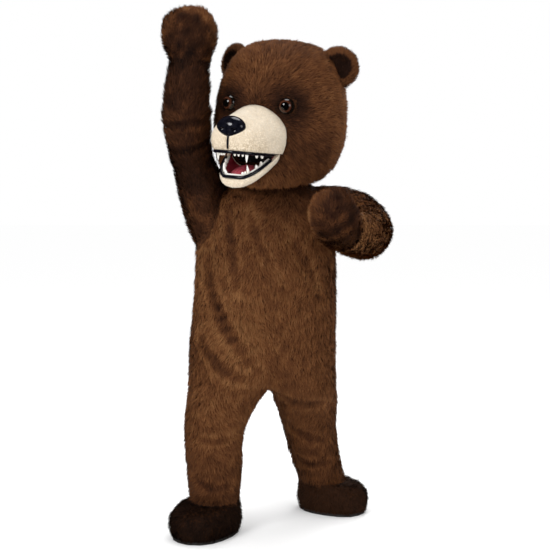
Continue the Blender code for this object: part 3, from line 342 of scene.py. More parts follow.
def middle_turn(row, z, side):
    """Give the turn at which a section reaches the middle of the body, or its inseam."""
    if z < CROTCH_Z - CLOSE:
        return math.pi
    reach = side * (column(MIDDLE, "z", "x", z) - row["x"]) / row["wide"]
    reach = min(max(reach, -1.0), 1.0)
    return math.acos(signed_power(reach, SECTION_POWER / 2))


def armhole_turn(z):
    """Give how far the armhole's edge lies from the side seam at a height."""
    high = (z - ARMHOLE["z"]) / ARMHOLE["half"]
    if abs(high) >= 1:
        return 0.0
    return ARMHOLE["turn"] * math.sqrt(1 - high * high)


def half_suit(cloth, word, table, side, shared):
    """Add one half of the suit: its front and back panels, from the foot to the neck."""
    arm_rows = [ARMHOLE["z"] - ARMHOLE["half"] * math.cos(math.pi * k / ARMHOLE_STEPS)
                for k in range(ARMHOLE_STEPS + 1)]
    body_rows = spread(LEG_ROWS + BODY_ROWS + (arm_rows[0],), FINER)[:-1]
    heights = body_rows + arm_rows + spread((arm_rows[-1],) + TOP_ROWS, FINER)[1:]
    grids = {"front": [], "back": []}
    middles = []
    for z in heights:
        row = {name: column(table, "z", name, z) for name in HALF_COLUMNS[1:]}
        inner = middle_turn(row, z, side)
        outer = armhole_turn(z)
        seam = {}
        for face in ("front", "back"):
            numbers = []
            for k in range(PANEL_COLUMNS + 1):
                turn = inner + (outer - inner) * k / PANEL_COLUMNS
                x, y = oval(row, turn, face == "back")
                spot = Vector((row["x"] + side * x, row["y"] + y, z))
                press = fold_depth(face, spot.x, z) * math.sin(min(turn, math.pi - turn, 1.0))
                centre = Vector((row["x"], row["y"], z))
                spot += (centre - spot).normalized() * press
                at_middle = k == 0
                at_side = k == PANEL_COLUMNS and outer == 0.0
                if at_middle and z >= CROTCH_Z - CLOSE:
                    key = (face if z > CROTCH_Z + CLOSE else "crotch", round(z, 5))
                    if key not in shared:
                        spot.x = column(MIDDLE, "z", "x", z)
                        shared[key] = cloth.add(spot, (0, 0, -1), press)
                    number = shared[key]
                elif (at_middle or at_side) and k in seam:
                    number = seam[k]
                else:
                    number = cloth.add(spot, (0, 0, -1), press)
                    if at_middle or at_side:
                        seam[k] = number
                numbers.append(number)
            grids[face].append(numbers)
        middles.append(Vector((row["x"], row["y"], z)))
    for face in ("front", "back"):
        piece = f"suit_{face}_{word}"
        for low, high, inside in zip(grids[face], grids[face][1:], middles):
            cloth.strip(low, high, [piece] * PANEL_COLUMNS, inside, closed=False)
    leg_ring = grids["front"][0] + grids["back"][0][-2:0:-1]
    first = len(body_rows)
    hole_front = [row[-1] for row in grids["front"][first:first + ARMHOLE_STEPS + 1]]
    hole_back = [row[-1] for row in grids["back"][first:first + ARMHOLE_STEPS + 1]]
    hole_ring = hole_front + hole_back[-2:0:-1]
    return leg_ring, hole_ring


# The arms: the middle of each section, and its radius across and along the reach of the arm.
# The sleeve's creases are rings pressed in or swollen out, set by the gathers below.
ARM_COLUMNS = ("x", "y", "z", "across", "along")
RIGHT_SLEEVE = rows_of(ARM_COLUMNS, [
    (-0.268, 0.100, 1.318, 0.116, 0.116),
    (-0.293, 0.087, 1.378, 0.100, 0.106),
    (-0.313, 0.070, 1.438, 0.087, 0.099),
    (-0.329, 0.052, 1.495, 0.084, 0.097),
    (-0.337, 0.034, 1.550, 0.089, 0.098),
    (-0.341, 0.020, 1.605, 0.093, 0.097),
    (-0.343, 0.010, 1.655, 0.096, 0.096),
    (-0.342, 0.002, 1.705, 0.090, 0.092),
    (-0.338, -0.004, 1.755, 0.091, 0.090),
    (-0.333, -0.008, 1.802, 0.084, 0.084),
    (-0.328, -0.010, 1.848, 0.079, 0.078),
])
LEFT_SLEEVE = rows_of(ARM_COLUMNS, [
    (0.262, 0.092, 1.252, 0.122, 0.128),
    (0.295, 0.070, 1.247, 0.116, 0.124),
    (0.322, 0.042, 1.233, 0.112, 0.118),
    (0.340, 0.010, 1.217, 0.110, 0.113),
    (0.347, -0.024, 1.203, 0.105, 0.110),
    (0.343, -0.058, 1.194, 0.102, 0.104),
    (0.332, -0.092, 1.190, 0.096, 0.099),
    (0.316, -0.124, 1.190, 0.093, 0.096),
    (0.298, -0.153, 1.194, 0.088, 0.090),
    (0.279, -0.180, 1.199, 0.085, 0.087),
    (0.261, -0.206, 1.205, 0.081, 0.082),
])
# The mitts: the middle of each section, half its width and half its thickness
RIGHT_MITT = rows_of(ARM_COLUMNS, [
    (-0.327, -0.010, 1.868, 0.082, 0.076),
    (-0.327, -0.012, 1.895, 0.094, 0.076),
    (-0.327, -0.016, 1.925, 0.103, 0.074),
    (-0.327, -0.022, 1.955, 0.108, 0.070),
    (-0.327, -0.030, 1.983, 0.107, 0.064),
    (-0.326, -0.038, 2.008, 0.101, 0.055),
    (-0.325, -0.046, 2.030, 0.088, 0.043),
    (-0.325, -0.052, 2.045, 0.066, 0.027),
])
LEFT_MITT = rows_of(ARM_COLUMNS, [
    (0.252, -0.220, 1.209, 0.082, 0.080),
    (0.238, -0.242, 1.218, 0.086, 0.078),
    (0.226, -0.260, 1.234, 0.090, 0.076),
    (0.217, -0.272, 1.258, 0.092, 0.072),
    (0.210, -0.279, 1.286, 0.091, 0.066),
    (0.206, -0.283, 1.313, 0.086, 0.056),
    (0.203, -0.286, 1.337, 0.075, 0.044),
    (0.201, -0.288, 1.354, 0.056, 0.027),
])
MITTS = {
    "right": {"rows": RIGHT_MITT, "across": Vector((1, 0.10, 0)), "tip": (-0.325, -0.055, 2.052)},
    "left": {"rows": LEFT_MITT, "across": Vector((1, 0.35, 0)), "tip": (0.200, -0.289, 1.362)},
}
FINGERS = 4
FINGER_LENGTH = 0.013
FINGER_PRESS = 0.16       # how deep the mitt is pressed in between its fingers
TOWARDS_EVEN = 4          # in so many rows the armhole's points turn to their even places
TOWARDS_ROUND = 2.5       # and in so many its form turns into the sleeve's own

# Where each sleeve's gathers are strongest, in rows from the armhole, and how deep they are
GATHERS = {
    "right": {"at": 5.0, "reach": 2.6, "waves": 4.2, "twist": 0.5, "deep": 0.0028,
              "long_deep": 0.0030},
    "left": {"at": 4.6, "reach": 2.4, "waves": 4.8, "twist": 1.4, "deep": 0.0040,
             "long_deep": 0.0012},
}


def gathered(word, spot, middle, gone, turn):
    """Press soft gathers into a sleeve: uneven rings, strongest round the elbow."""
    gather = GATHERS[word]
    near = math.exp(-((gone - gather["at"]) / gather["reach"]) ** 2)
    wave = math.sin(gone * gather["waves"] + 0.9 * math.sin(turn + gather["twist"]))
    wave += 0.5 * math.sin(gone * gather["waves"] * 1.7 + 2.0 * math.cos(turn))
    long = math.sin(2 * turn + gone * 0.9) * (1 - near)
    press = gather["deep"] * near * (wave + 0.6) + gather["long_deep"] * long
    return spot + (middle - spot).normalized() * press, press


def place_of(row):
    """Give the middle of a row's section."""
    return Vector((row["x"], row["y"], row["z"]))


def directions(path):
    """Give the direction of a path at each of its points."""
    last = len(path) - 1
    return [(path[min(i + 1, last)] - path[max(i - 1, 0)]).normalized() for i in range(last + 1)]


def sleeve(cloth, word, table, hole_ring):
    """Add a sleeve from the armhole's own points to a round cuff. Returns its last row."""
    start = sum((cloth.points[number] for number in hole_ring), Vector()) / ROUND
    first = dict(table[0], x=start.x, y=start.y, z=start.z)
    table = finer([first] + table, ARM_COLUMNS, FINER)[1:]
    path = [start] + [place_of(row) for row in table]
    heads = directions(path)
    spots = [cloth.points[number] - start for number in hole_ring]
    across = spots[0] - heads[0] * spots[0].dot(heads[0])
    across.normalize()
    turns = []
    for spot in spots:
        along = heads[0].cross(across)
        turns.append(math.atan2(spot.dot(along), spot.dot(across)))
    way = 1 if math.sin(turns[ROUND // 4] - turns[0]) > 0 else -1
    even = [way * 2 * math.pi * k / ROUND for k in range(ROUND)]
    turns = [e + math.remainder(t - e, 2 * math.pi) for t, e in zip(turns, even)]
    rows = [hole_ring]
    for i, row in enumerate(table):
        head = heads[i + 1]
        across = (across - head * across.dot(head)).normalized()
        along = head.cross(across)
        gone = (i + 1) / FINER
        numbers = []
        for k in range(ROUND):
            turn = turns[k] + (even[k] - turns[k]) * step(gone / TOWARDS_EVEN)
            ring = across * math.cos(turn) * row["across"] + along * math.sin(turn) * row["along"]
            spot = path[i + 1] + spots[k].lerp(ring, step(gone / TOWARDS_ROUND))
            spot, press = gathered(word, spot, path[i + 1], gone, turn)
            # The gathers' press counts twice in the painted shade of the pile's creases
            numbers.append(cloth.add(spot, head, press * 2))
        rows.append(numbers)
    for low, high, inside in zip(rows, rows[1:], path):
        cloth.strip(low, high, [f"sleeve_{word}"] * ROUND, inside, closed=True)
    return rows[-1], path[-1]


def mitt(cloth, word, cuff, cuff_middle):
    """Add a mitt's palm and back from the cuff's own points to its finger tips."""
    table = MITTS[word]["rows"]
    wrist = dict(table[0], x=cuff_middle.x, y=cuff_middle.y, z=cuff_middle.z)
    table = finer([wrist] + table, ARM_COLUMNS, FINER)[1:]
    path = [cuff_middle] + [place_of(row) for row in table]
    heads = directions(path)
    side = MITTS[word]["across"].normalized()

    def frame(head):
        """Give the two directions across the mitt at a place of its path."""
        across = (side - head * side.dot(head)).normalized()
        return across, head.cross(across)

    across, along = frame(heads[0])
    first = cloth.points[cuff[0]] - cuff_middle
    second = cloth.points[cuff[ROUND // 4]] - cuff_middle
    start = math.atan2(first.dot(along), first.dot(across))
    turned = math.atan2(second.dot(along), second.dot(across)) - start
    way = 1 if math.sin(turned) > 0 else -1
    one = 2 * math.pi / ROUND
    begin = round(start / one)
    angles = [(begin + way * k) * one for k in range(ROUND)]
    rows = [cuff]
    for i, row in enumerate(table):
        across, along = frame(heads[i + 1])
        share = i / (len(table) - 1)
        numbers = []
        for angle in angles:
            u = math.cos(angle)
            lobe = abs(math.sin(FINGERS / 2 * math.pi * u))
            thick = row["along"] * (1 - FINGER_PRESS * share * (1 - lobe))
            spot = path[i + 1] + across * row["across"] * u + along * thick * math.sin(angle)
            spot += heads[i + 1] * FINGER_LENGTH * share * (lobe - 0.5 - 0.8 * u * u)
            numbers.append(cloth.add(spot, heads[i + 1]))
        rows.append(numbers)
    names = []
    for k in range(ROUND):
        between = angles[k] + way * one / 2
        # The palm is the side that looks towards -Y
        toward = frame(heads[-1])[1] * math.sin(between)
        names.append(f"mitt_{word}_palm" if toward.y < 0 else f"mitt_{word}_back")
    for low, high, inside in zip(rows, rows[1:], path):
        cloth.strip(low, high, names, inside, closed=True)
    tip = cloth.add(MITTS[word]["tip"], heads[-1])
    cloth.strip(rows[-1], [tip] * ROUND, names, path[-2], closed=True)


# The foot covers: middle, which way the toes point, half length and half width of the outline,
# and for each height the share of the outline that the section reaches from the ankle's own
FEET = {
    "right": {"x": -0.272, "y": -0.022, "turn": math.radians(-33), "long": 0.160, "wide": 0.118},
    "left": {"x": 0.243, "y": 0.312, "turn": math.radians(60), "long": 0.152, "wide": 0.108},
}
FOOT_ROWS = rows_of(("z", "share", "size"), [
    (0.135, 0.00, 0.96),
    (0.128, 0.42, 0.96),
    (0.112, 0.80, 0.97),
    (0.085, 1.00, 0.99),
    (0.052, 1.00, 1.00),
    (0.026, 1.00, 0.97),
    (0.0100, 1.00, 0.92),
])
TOES = 4
TOE_SWELL = 0.05
FOOT_POWER = 0.86
FOOT_NAP_FALL = -0.12
FOOT_MIDDLE_Z = 0.06


def foot_outline(foot, angle, size):
    """Give a point of the foot's outline; angle is 0 at the toes."""
    front = max(math.cos(angle), 0.0)
    lobe = 1 + TOE_SWELL * front * abs(math.cos(TOES * angle))
    long = foot["long"] * signed_power(math.cos(angle), FOOT_POWER) * lobe * size
    wide = foot["wide"] * signed_power(math.sin(angle), FOOT_POWER) * lobe * size
    ahead = Vector((math.sin(foot["turn"]), -math.cos(foot["turn"]), 0))
    beside = Vector((math.cos(foot["turn"]), math.sin(foot["turn"]), 0))
    return Vector((foot["x"], foot["y"], 0)) + ahead * long + beside * wide


def foot_cover(cloth, word, ankle):
    """Add a foot cover from the leg's own last row down to the sole."""
    foot = FEET[word]
    middle = sum((cloth.points[number] for number in ankle), Vector()) / len(ankle)
    rows = [ankle]
    for row in finer(FOOT_ROWS, ("z", "share", "size"), FINER)[1:]:
        numbers = []
        for number in ankle:
            spot = cloth.points[number]
            away = spot - middle
            angle = math.atan2(away.y, away.x) + math.pi / 2 - foot["turn"]
            reach = foot_outline(foot, angle, row["size"])
            flat = spot.lerp(reach, row["share"])
            nap = reach - middle
            numbers.append(cloth.add((flat.x, flat.y, row["z"]), (nap.x, nap.y, FOOT_NAP_FALL)))
        rows.append(numbers)
    inside = Vector((foot["x"], foot["y"], FOOT_MIDDLE_Z))
    for low, high in zip(rows, rows[1:]):
        cloth.strip(low, high, [f"foot_{word}"] * len(ankle), inside, closed=True)


# The head, in its own frame: +Z up, the face looks to -Y
HEAD_FRAME = (Matrix.Translation((0.022, 0.066, 1.6605)) @ Matrix.Rotation(math.radians(-26), 4, 'Z')
              @ Matrix.Rotation(math.radians(5), 4, 'Y'))
HEAD_COLUMNS = ("z", "wide", "front", "back")
HEAD_SECTIONS = rows_of(HEAD_COLUMNS, [
    (-0.262, 0.150, 0.165, 0.150),
    (-0.246, 0.190, 0.196, 0.180),
    (-0.205, 0.228, 0.216, 0.212),
    (-0.150, 0.250, 0.226, 0.232),
    (-0.085, 0.262, 0.232, 0.245),
    (-0.015, 0.264, 0.232, 0.250),
    (0.055, 0.257, 0.226, 0.247),
    (0.120, 0.243, 0.212, 0.236),
    (0.180, 0.219, 0.190, 0.212),
    (0.230, 0.180, 0.154, 0.174),
    (0.262, 0.130, 0.110, 0.126),
    (0.276, 0.070, 0.060, 0.068),
])
HEAD_TOP = 0.281
HEAD_ROUND = 72
NECK_TILT = 0.20          # the neck's edge is lower in front than behind
NECK_TILT_FROM = -0.10
HEAD_SEAM_Y = 0.004       # the head's two halves are joined over the ears
MOUTH_HOLE = {"z": -0.1565, "wide": 0.0925, "high": 0.0465}
NOSE_TIP = Vector((0, -0.400, -0.090))
NOSE_MIDDLE = (0, -0.396, -0.076)
NOSE_RADII = (0.057, 0.036, 0.040)

MUZZLE_COLUMNS = ("y", "z", "wide", "high")
MUZZLE = rows_of(MUZZLE_COLUMNS, [
    (-0.416, -0.118, 0.030, 0.026),
    (-0.408, -0.118, 0.058, 0.048),
    (-0.388, -0.118, 0.084, 0.068),
    (-0.350, -0.116, 0.104, 0.084),
    (-0.300, -0.111, 0.115, 0.097),
    (-0.250, -0.105, 0.122, 0.111),
    (-0.200, -0.099, 0.128, 0.123),
    (-0.150, -0.095, 0.130, 0.130),
])
JAW = rows_of(MUZZLE_COLUMNS, [
    (-0.362, -0.268, 0.024, 0.018),
    (-0.354, -0.264, 0.046, 0.031),
    (-0.334, -0.252, 0.068, 0.042),
    (-0.298, -0.229, 0.087, 0.050),
    (-0.250, -0.198, 0.100, 0.055),
    (-0.200, -0.166, 0.107, 0.058),
    (-0.150, -0.134, 0.110, 0.060),
])
MUZZLE_CUT = {"z": -0.160, "slope": 0.0}
JAW_CUT = {"z": -0.164, "slope": 0.57}    # the mouth is wide open
BRIDGE_PINCH = 0.26       # how much narrower the muzzle is at its top
MUZZLE_WALL = 0.013
LINING_WALL = 0.004
FACE_ROUND = 64
EYE_RADIUS = 0.031
EYES = {"right": Vector((-0.118, -0.198, 0.018)), "left": Vector((0.118, -0.198, 0.018))}
EAR_RADIUS = 0.080
EAR_DEPTH = 0.030
EAR_RADII = (EAR_RADIUS, EAR_DEPTH, EAR_RADIUS)
EAR_CUP = 0.052
EARS = {"right": -1, "left": 1}
EAR_OUT = {-1: 0.232, 1: 0.216}


def ear_place(ear_side):
    """Give an ear's middle and how it is turned."""
    middle = Vector((ear_side * EAR_OUT[ear_side], 0.030, 0.185))
    turned = (Matrix.Rotation(ear_side * math.radians(22), 4, 'Z')
              @ Matrix.Rotation(ear_side * math.radians(28), 4, 'Y'))
    return middle, turned


def head_rows(cloth, sections):
    """Add the head's outer form: rows of points from the neck to the crown."""
    lowest = sections[0]["z"]
    rows = []
    for row in sections:
        numbers = []
        for turn in turns_round(HEAD_ROUND):
            x = math.sin(turn) * row["wide"]
            y = -math.cos(turn) * (row["front"] if math.cos(turn) > 0 else row["back"])
            low = max(NECK_TILT_FROM - row["z"], 0.0) / (NECK_TILT_FROM - lowest)
            spot = Vector((x, y, row["z"] + NECK_TILT * y * low))
            nap = (spot - NOSE_TIP).normalized() + Vector((0, 0.25, -0.35))
            numbers.append(cloth.add(spot, nap))
        rows.append(numbers)
    return rows


def in_mouth_hole(spot):
    """Tell whether a place on the head lies in the hole behind the muzzle."""
    x = spot.x / MOUTH_HOLE["wide"]
    z = (spot.z - MOUTH_HOLE["z"]) / MOUTH_HOLE["high"]
    return spot.y < 0 and x * x + z * z < 1


def head_cloth():
    """Make the head's surface, in two halves with the mouth's hole left out."""
    cloth = Cloth()
    rows = head_rows(cloth, finer(HEAD_SECTIONS, HEAD_COLUMNS, FINER + 1))
    top = cloth.add((0, 0, HEAD_TOP), (0, 1, 0))
    for low, high in zip(rows, rows[1:] + [[top] * HEAD_ROUND]):
        names = []
        for k in range(HEAD_ROUND):
            middle = (cloth.points[low[k]] + cloth.points[high[(k + 1) % HEAD_ROUND]]) / 2
            names.append("head_front" if middle.y < HEAD_SEAM_Y else "head_back")
            if in_mouth_hole(middle):
                names[-1] = "hole"
        cloth.strip(low, high, names, (0, 0, 0), closed=True)
    cloth.settle(SKIN_DEEP)
    return cloth


# Fine, even randomness: sums of waves with set directions, so that each run is the same
WAVES = {}
for name, length, number in (("wide", 0.55, 9), ("swirl", 0.24, 12), ("tuft", 0.050, 22),
                             ("fine", 0.018, 26)):
    ways = rng.normal(size=(number, 3))
    ways /= np.linalg.norm(ways, axis=1, keepdims=True)
    WAVES[name] = (ways * 2 * math.pi / (length * rng.uniform(0.7, 1.4, (number, 1))),
                   rng.uniform(0, 2 * math.pi, (3, number)))


def noise(name, spots, channel=0):
    """Give a soft random value for each place, mostly between -1 and 1."""
    ways, phases = WAVES[name]
    return np.sin(spots @ ways.T + phases[channel]).sum(axis=1) * math.sqrt(2 / len(ways)) * 0.6


def noise_vector(name, spots):
    """Give a soft random vector for each place."""
    return np.stack([noise(name, spots, channel) for channel in range(3)], axis=1)


def unit(vectors):
    """Make each vector one long."""
    return vectors / np.maximum(np.linalg.norm(vectors, axis=1, keepdims=True), 1e-9)


def across_normals(vectors, normals):
    """Give the part of each vector that lies in the surface."""
    return vectors - normals * (vectors * normals).sum(axis=1, keepdims=True)


def surface_of(cloth, piece, place):
    """Collect one piece's outer faces as arrays of triangles, set in the row's frame."""
    triangles = []
    for name, corners in cloth.faces:
        if name == piece:
            triangles += [(corners[0], corners[i], corners[i + 1])
                          for i in range(1, len(corners) - 1)]
    return placed(cloth.skin, cloth.normals, cloth.naps, cloth.folds, triangles, place)


def placed(points, normals, naps, folds, triangles, place):
    """Turn a surface's own arrays to the row's frame, and keep its own points beside them."""
    turned = np.array(place.to_3x3())
    own = np.array([tuple(spot) for spot in points])
    return {"own": own,
            "points": own @ turned.T + np.array(place.translation),
            "normals": np.array([tuple(vector) for vector in normals]) @ turned.T,
            "naps": np.array([tuple(vector) for vector in naps]) @ turned.T,
            "folds": np.array(folds)[:, None],
            "triangles": np.array(triangles)}


def surface_of_mesh(made, centre, lean, place):
    """Collect a mesh's triangles, with its pile lying away from a centre."""
    mesh = made.data
    mesh.calc_loop_triangles()
    points = [vertex.co.copy() for vertex in mesh.vertices]
    normals = [vertex.normal.copy() for vertex in mesh.vertices]
    naps = [(spot - Vector(centre)).normalized() + Vector(lean) for spot in points]
    triangles = [tuple(triangle.vertices) for triangle in mesh.loop_triangles]
    return placed(points, normals, naps, [0.0] * len(points), triangles, place)


def scatter(surface, count, keep=None):
    """Choose random roots on a surface: their places, normals and nap directions."""
    a, b, c = (surface["triangles"][:, i] for i in range(3))
    points = surface["points"]
    areas = np.linalg.norm(np.cross(points[b] - points[a], points[c] - points[a]), axis=1)
    chosen = rng.choice(len(areas), size=count, p=areas / areas.sum())
    u = np.sqrt(rng.random(count))[:, None]
    v = rng.random(count)[:, None]
    shares = (1 - u, u * (1 - v), u * v)
    found = {}
    for name in ("own", "points", "normals", "naps", "folds"):
        values = surface[name]
        found[name] = sum(share * values[corner[chosen]]
                          for share, corner in zip(shares, (a, b, c)))
    found["normals"] = unit(found["normals"])
    if keep is not None:
        good = keep(found)
        found = {name: values[good] for name, values in found.items()}
    return found


def strands(name, roots, tones, look):
    """Make one joined mesh of tapered strands that lie along the nap."""
    spots = roots["points"]
    normals = roots["normals"]
    count = len(spots)
    lay = unit(across_normals(roots["naps"], normals))
    beside = np.cross(normals, lay)
    turn = (look["swirl"] * noise("swirl", spots) + rng.normal(0, look["stray"], count))[:, None]
    lay = lay * np.cos(turn) + beside * np.sin(turn)
    beside = np.cross(normals, lay)
    tuft = noise_vector("tuft", spots) * look["tuft"] + noise_vector("fine", spots) * look["fine"]
    long = look["long"] * rng.uniform(0.65, 1.2, (count, 1))
    lift = np.radians(look["lift"] * rng.uniform(0.6, 1.35, (count, 1)))
    first = unit(lay * np.cos(lift) + normals * np.sin(lift) + tuft * 0.5)
    later = unit(lay * np.cos(lift * 0.45) + normals * np.sin(lift * 0.45) + tuft
                 + np.array((0, 0, -look["droop"])))
    middle = spots + first * long * 0.5
    tip = middle + later * long * 0.5
    roll = rng.normal(0, 0.5, (count, 1))
    side = unit(beside * np.cos(roll) + np.cross(first, beside) * np.sin(roll))
    half = look["wide"] / 2 * rng.uniform(0.7, 1.2, (count, 1))
    spots = spots - first * long * 0.06
    corners = np.stack([spots - side * half, spots + side * half,
                        middle - side * half * 0.8, middle + side * half * 0.8, tip], axis=1)
    soft = unit(normals + tuft * look["shade"] + rng.normal(0, 0.16, (count, 3)))
    bent = unit(soft + later * 0.25)
    shading = np.stack([soft, soft, soft, soft, bent], axis=1)
    flat = np.empty((count, 7, 2))
    flat[:, :, 0] = np.clip(tones, 0.01, 0.99)[:, None]
    flat[:, :, 1] = (0.02, 0.02, 0.5, 0.5, 0.5, 0.5, 0.98)

    mesh = bpy.data.meshes.new(name)
    mesh.vertices.add(5 * count)
    mesh.vertices.foreach_set("co", corners.ravel())
    mesh.loops.add(7 * count)
    order = np.arange(count)[:, None] * 5 + np.array((1, 0, 2, 3, 3, 2, 4))
    mesh.loops.foreach_set("vertex_index", order.ravel())
    mesh.polygons.add(2 * count)
    starts = np.arange(count)[:, None] * 7 + np.array((0, 4))
    mesh.polygons.foreach_set("loop_start", starts.ravel())
    mesh.uv_layers.new(name="OFBake").data.foreach_set("uv", flat.ravel())
    mesh.update(calc_edges=True)
    mesh.shade_smooth()
    mesh.normals_split_custom_set_from_vertices(shading.reshape(-1, 3))
    return linked(name, mesh)


def linked(name, data):
    """Put an object with the given data into the scene."""
    made = bpy.data.objects.new(name, data)
    bpy.context.scene.collection.objects.link(made)
    return made


def new_object(name, points, faces, smooth=True):
    """Make a mesh object from points and faces."""
    mesh = bpy.data.meshes.new(name)
    mesh.from_pydata([tuple(point) for point in points], [], faces)
    mesh.validate()
    if smooth:
        mesh.shade_smooth()
    return linked(name, mesh)


# Materials. Those of the fur read only the strands' own map: across it the tone, up it the way
# from root to tip.
def new_material(name, sockets):
    """Make a material, set its shader's sockets and give its nodes, links and shader."""
    made = bpy.data.materials.new(name)
    made.use_nodes = True
    nodes = made.node_tree.nodes
    shader = nodes["Principled BSDF"]
    for socket, value in sockets.items():
        shader.inputs[socket].default_value = value
    return made, nodes, made.node_tree.links, shader


def ramp(nodes, links, source, stops):
    """Add a colour ramp with the given stops and give its colour."""
    made = nodes.new("ShaderNodeValToRGB")
    points = made.color_ramp.elements
    points[0].position, points[1].position = stops[0][0], stops[-1][0]
    for position, _ in stops[1:-1]:
        points.new(position)
    for point, (_, colour) in zip(points, stops):
        point.color = (*colour, 1.0)
    links.new(source, made.inputs["Fac"])
    return made.outputs["Color"]


def multiply(nodes, links, first, second):
    """Multiply two colours."""
    made = nodes.new("ShaderNodeMix")
    made.data_type = 'RGBA'
    made.blend_type = 'MULTIPLY'
    made.inputs["Factor"].default_value = 1.0
    links.new(first, made.inputs["A"])
    links.new(second, made.inputs["B"])
    return made.outputs["Result"]


def fur_material(name, tones, root):
    """Make a pile's material from its tones, dark to light, and the brightness at the root, where
    shade is painted.
    """
    made, nodes, links, shader = new_material(name, {
        "Roughness": 0.70, "Specular IOR Level": 0.10})
    where = nodes.new("ShaderNodeUVMap")
    where.uv_map = "OFBake"
    parts = nodes.new("ShaderNodeSeparateXYZ")
    links.new(where.outputs["UV"], parts.inputs["Vector"])
    tone = ramp(nodes, links, parts.outputs["X"], tones)
    # Darker towards the root: painted shade deep in the pile
    depth = ramp(nodes, links, parts.outputs["Y"],
                 [(0.0, (root,) * 3), (0.5, (0.80,) * 3), (1.0, (1.0,) * 3)])
    links.new(multiply(nodes, links, tone, depth), shader.inputs["Base Color"])
    return made


def colour_and_height(nodes, links, shader, source, stops, deep, strength):
    """Let one source of values give a material's colour and its fine height."""
    links.new(ramp(nodes, links, source, stops), shader.inputs["Base Color"])
    bump = nodes.new("ShaderNodeBump")
    bump.inputs["Distance"].default_value = deep
    bump.inputs["Strength"].default_value = strength
    links.new(source, bump.inputs["Height"])
    links.new(bump.outputs["Normal"], shader.inputs["Normal"])


def grained(name, dark, light, scale, deep, sockets):
    """Make a material whose colour and height vary with one fine noise."""
    made, nodes, links, shader = new_material(name, sockets)
    where = nodes.new("ShaderNodeTexCoord")
    grain = nodes.new("ShaderNodeTexNoise")
    grain.inputs["Scale"].default_value = scale
    grain.inputs["Detail"].default_value = 6.0
    links.new(where.outputs["Object"], grain.inputs["Vector"])
    colour_and_height(nodes, links, shader, grain.outputs["Fac"],
                      [(0.35, dark), (0.65, light)], deep, 0.6)
    return made


def woven(name, dark, light, across, deep, sockets):
    """Make a woven or knitted material from two crossed sets of bands."""
    made, nodes, links, shader = new_material(name, sockets)
    where = nodes.new("ShaderNodeTexCoord")
    bands = []
    for direction in ('X', 'Z'):
        wave = nodes.new("ShaderNodeTexWave")
        wave.bands_direction = direction
        wave.inputs["Scale"].default_value = across
        links.new(where.outputs["Object"], wave.inputs["Vector"])
        bands.append(wave.outputs["Fac"])
    both = nodes.new("ShaderNodeMath")
    both.operation = 'MULTIPLY'
    links.new(bands[0], both.inputs[0])
    links.new(bands[1], both.inputs[1])
    colour_and_height(nodes, links, shader, both.outputs[0],
                      [(0.0, dark), (0.8, light)], deep, 1.0)
    return made


BROWN_TONES = [(0.0, (0.010, 0.003, 0.001)), (0.3, (0.052, 0.017, 0.006)),
               (0.6, (0.170, 0.062, 0.020)), (1.0, (0.420, 0.200, 0.075))]
DARK_TONES = [(0.0, (0.003, 0.001, 0.001)), (1.0, (0.090, 0.034, 0.013))]
CREAM_TONES = [(0.0, (0.300, 0.190, 0.095)), (0.5, (0.640, 0.520, 0.360)),
               (1.0, (0.900, 0.820, 0.700))]
brown_fur = fur_material("brown_fur_pile", BROWN_TONES, 0.42)
dark_fur = fur_material("dark_fur_pile", DARK_TONES, 0.42)
cream_fur = fur_material("cream_pile", CREAM_TONES, 0.75)
# The backing is dark like the pile's roots: painted shade between the strands
brown_backing = grained("brown_backing", (0.018, 0.006, 0.002), (0.052, 0.019, 0.007), 90.0,
                        0.002, {"Roughness": 0.9, "Specular IOR Level": 0.1})
cream_plush = grained("cream_plush", (0.600, 0.480, 0.330), (0.820, 0.720, 0.580), 260.0, 0.0010,
                      {"Roughness": 0.85, "Specular IOR Level": 0.2, "Sheen Weight": 0.25})
black_gloss = grained("black_gloss", (0.002, 0.002, 0.004), (0.006, 0.006, 0.010), 60.0, 0.0004,
                      {"Roughness": 0.12, "IOR": 1.5})
mouth_red = grained("mouth_red", (0.230, 0.014, 0.024), (0.440, 0.045, 0.065), 45.0, 0.0010,
                    {"Roughness": 0.32, "Coat Weight": 0.25, "Coat Roughness": 0.2})
tongue_red = grained("tongue_red", (0.480, 0.050, 0.080), (0.660, 0.140, 0.170), 120.0, 0.0012,
                     {"Roughness": 0.34, "Coat Weight": 0.35, "Coat Roughness": 0.18})
tooth_ivory = grained("tooth_ivory", (0.820, 0.780, 0.690), (0.930, 0.910, 0.860), 35.0, 0.0003,
                      {"Roughness": 0.25, "Coat Weight": 0.3, "Coat Roughness": 0.1})
sole_rubber = grained("sole_rubber", (0.014, 0.013, 0.012), (0.030, 0.027, 0.025), 300.0, 0.0005,
                      {"Roughness": 0.75})
zip_metal = grained("zip_metal", (0.240, 0.190, 0.120), (0.420, 0.350, 0.240), 200.0, 0.0002,
                    {"Roughness": 0.36, "Metallic": 1.0})
zip_cloth = woven("zip_cloth", (0.012, 0.006, 0.004), (0.050, 0.024, 0.014), 420.0, 0.0004,
                  {"Roughness": 0.85})
screen_mesh = woven("screen_mesh", (0.001, 0.001, 0.001), (0.030, 0.030, 0.032), 160.0, 0.0008,
                    {"Roughness": 0.7})

# The suit, its sleeves, mitts and foot covers, as one welded surface
suit = Cloth()
shared_middle = {}
right_ankle, right_hole = half_suit(suit, "right", RIGHT_HALF, -1, shared_middle)
left_ankle, left_hole = half_suit(suit, "left", LEFT_HALF, 1, shared_middle)
right_cuff, right_wrist = sleeve(suit, "right", RIGHT_SLEEVE, right_hole)
left_cuff, left_wrist = sleeve(suit, "left", LEFT_SLEEVE, left_hole)
mitt(suit, "right", right_cuff, right_wrist)
mitt(suit, "left", left_cuff, left_wrist)
foot_cover(suit, "right", right_ankle)
foot_cover(suit, "left", left_ankle)
suit.settle(SKIN_DEEP)
head = head_cloth()

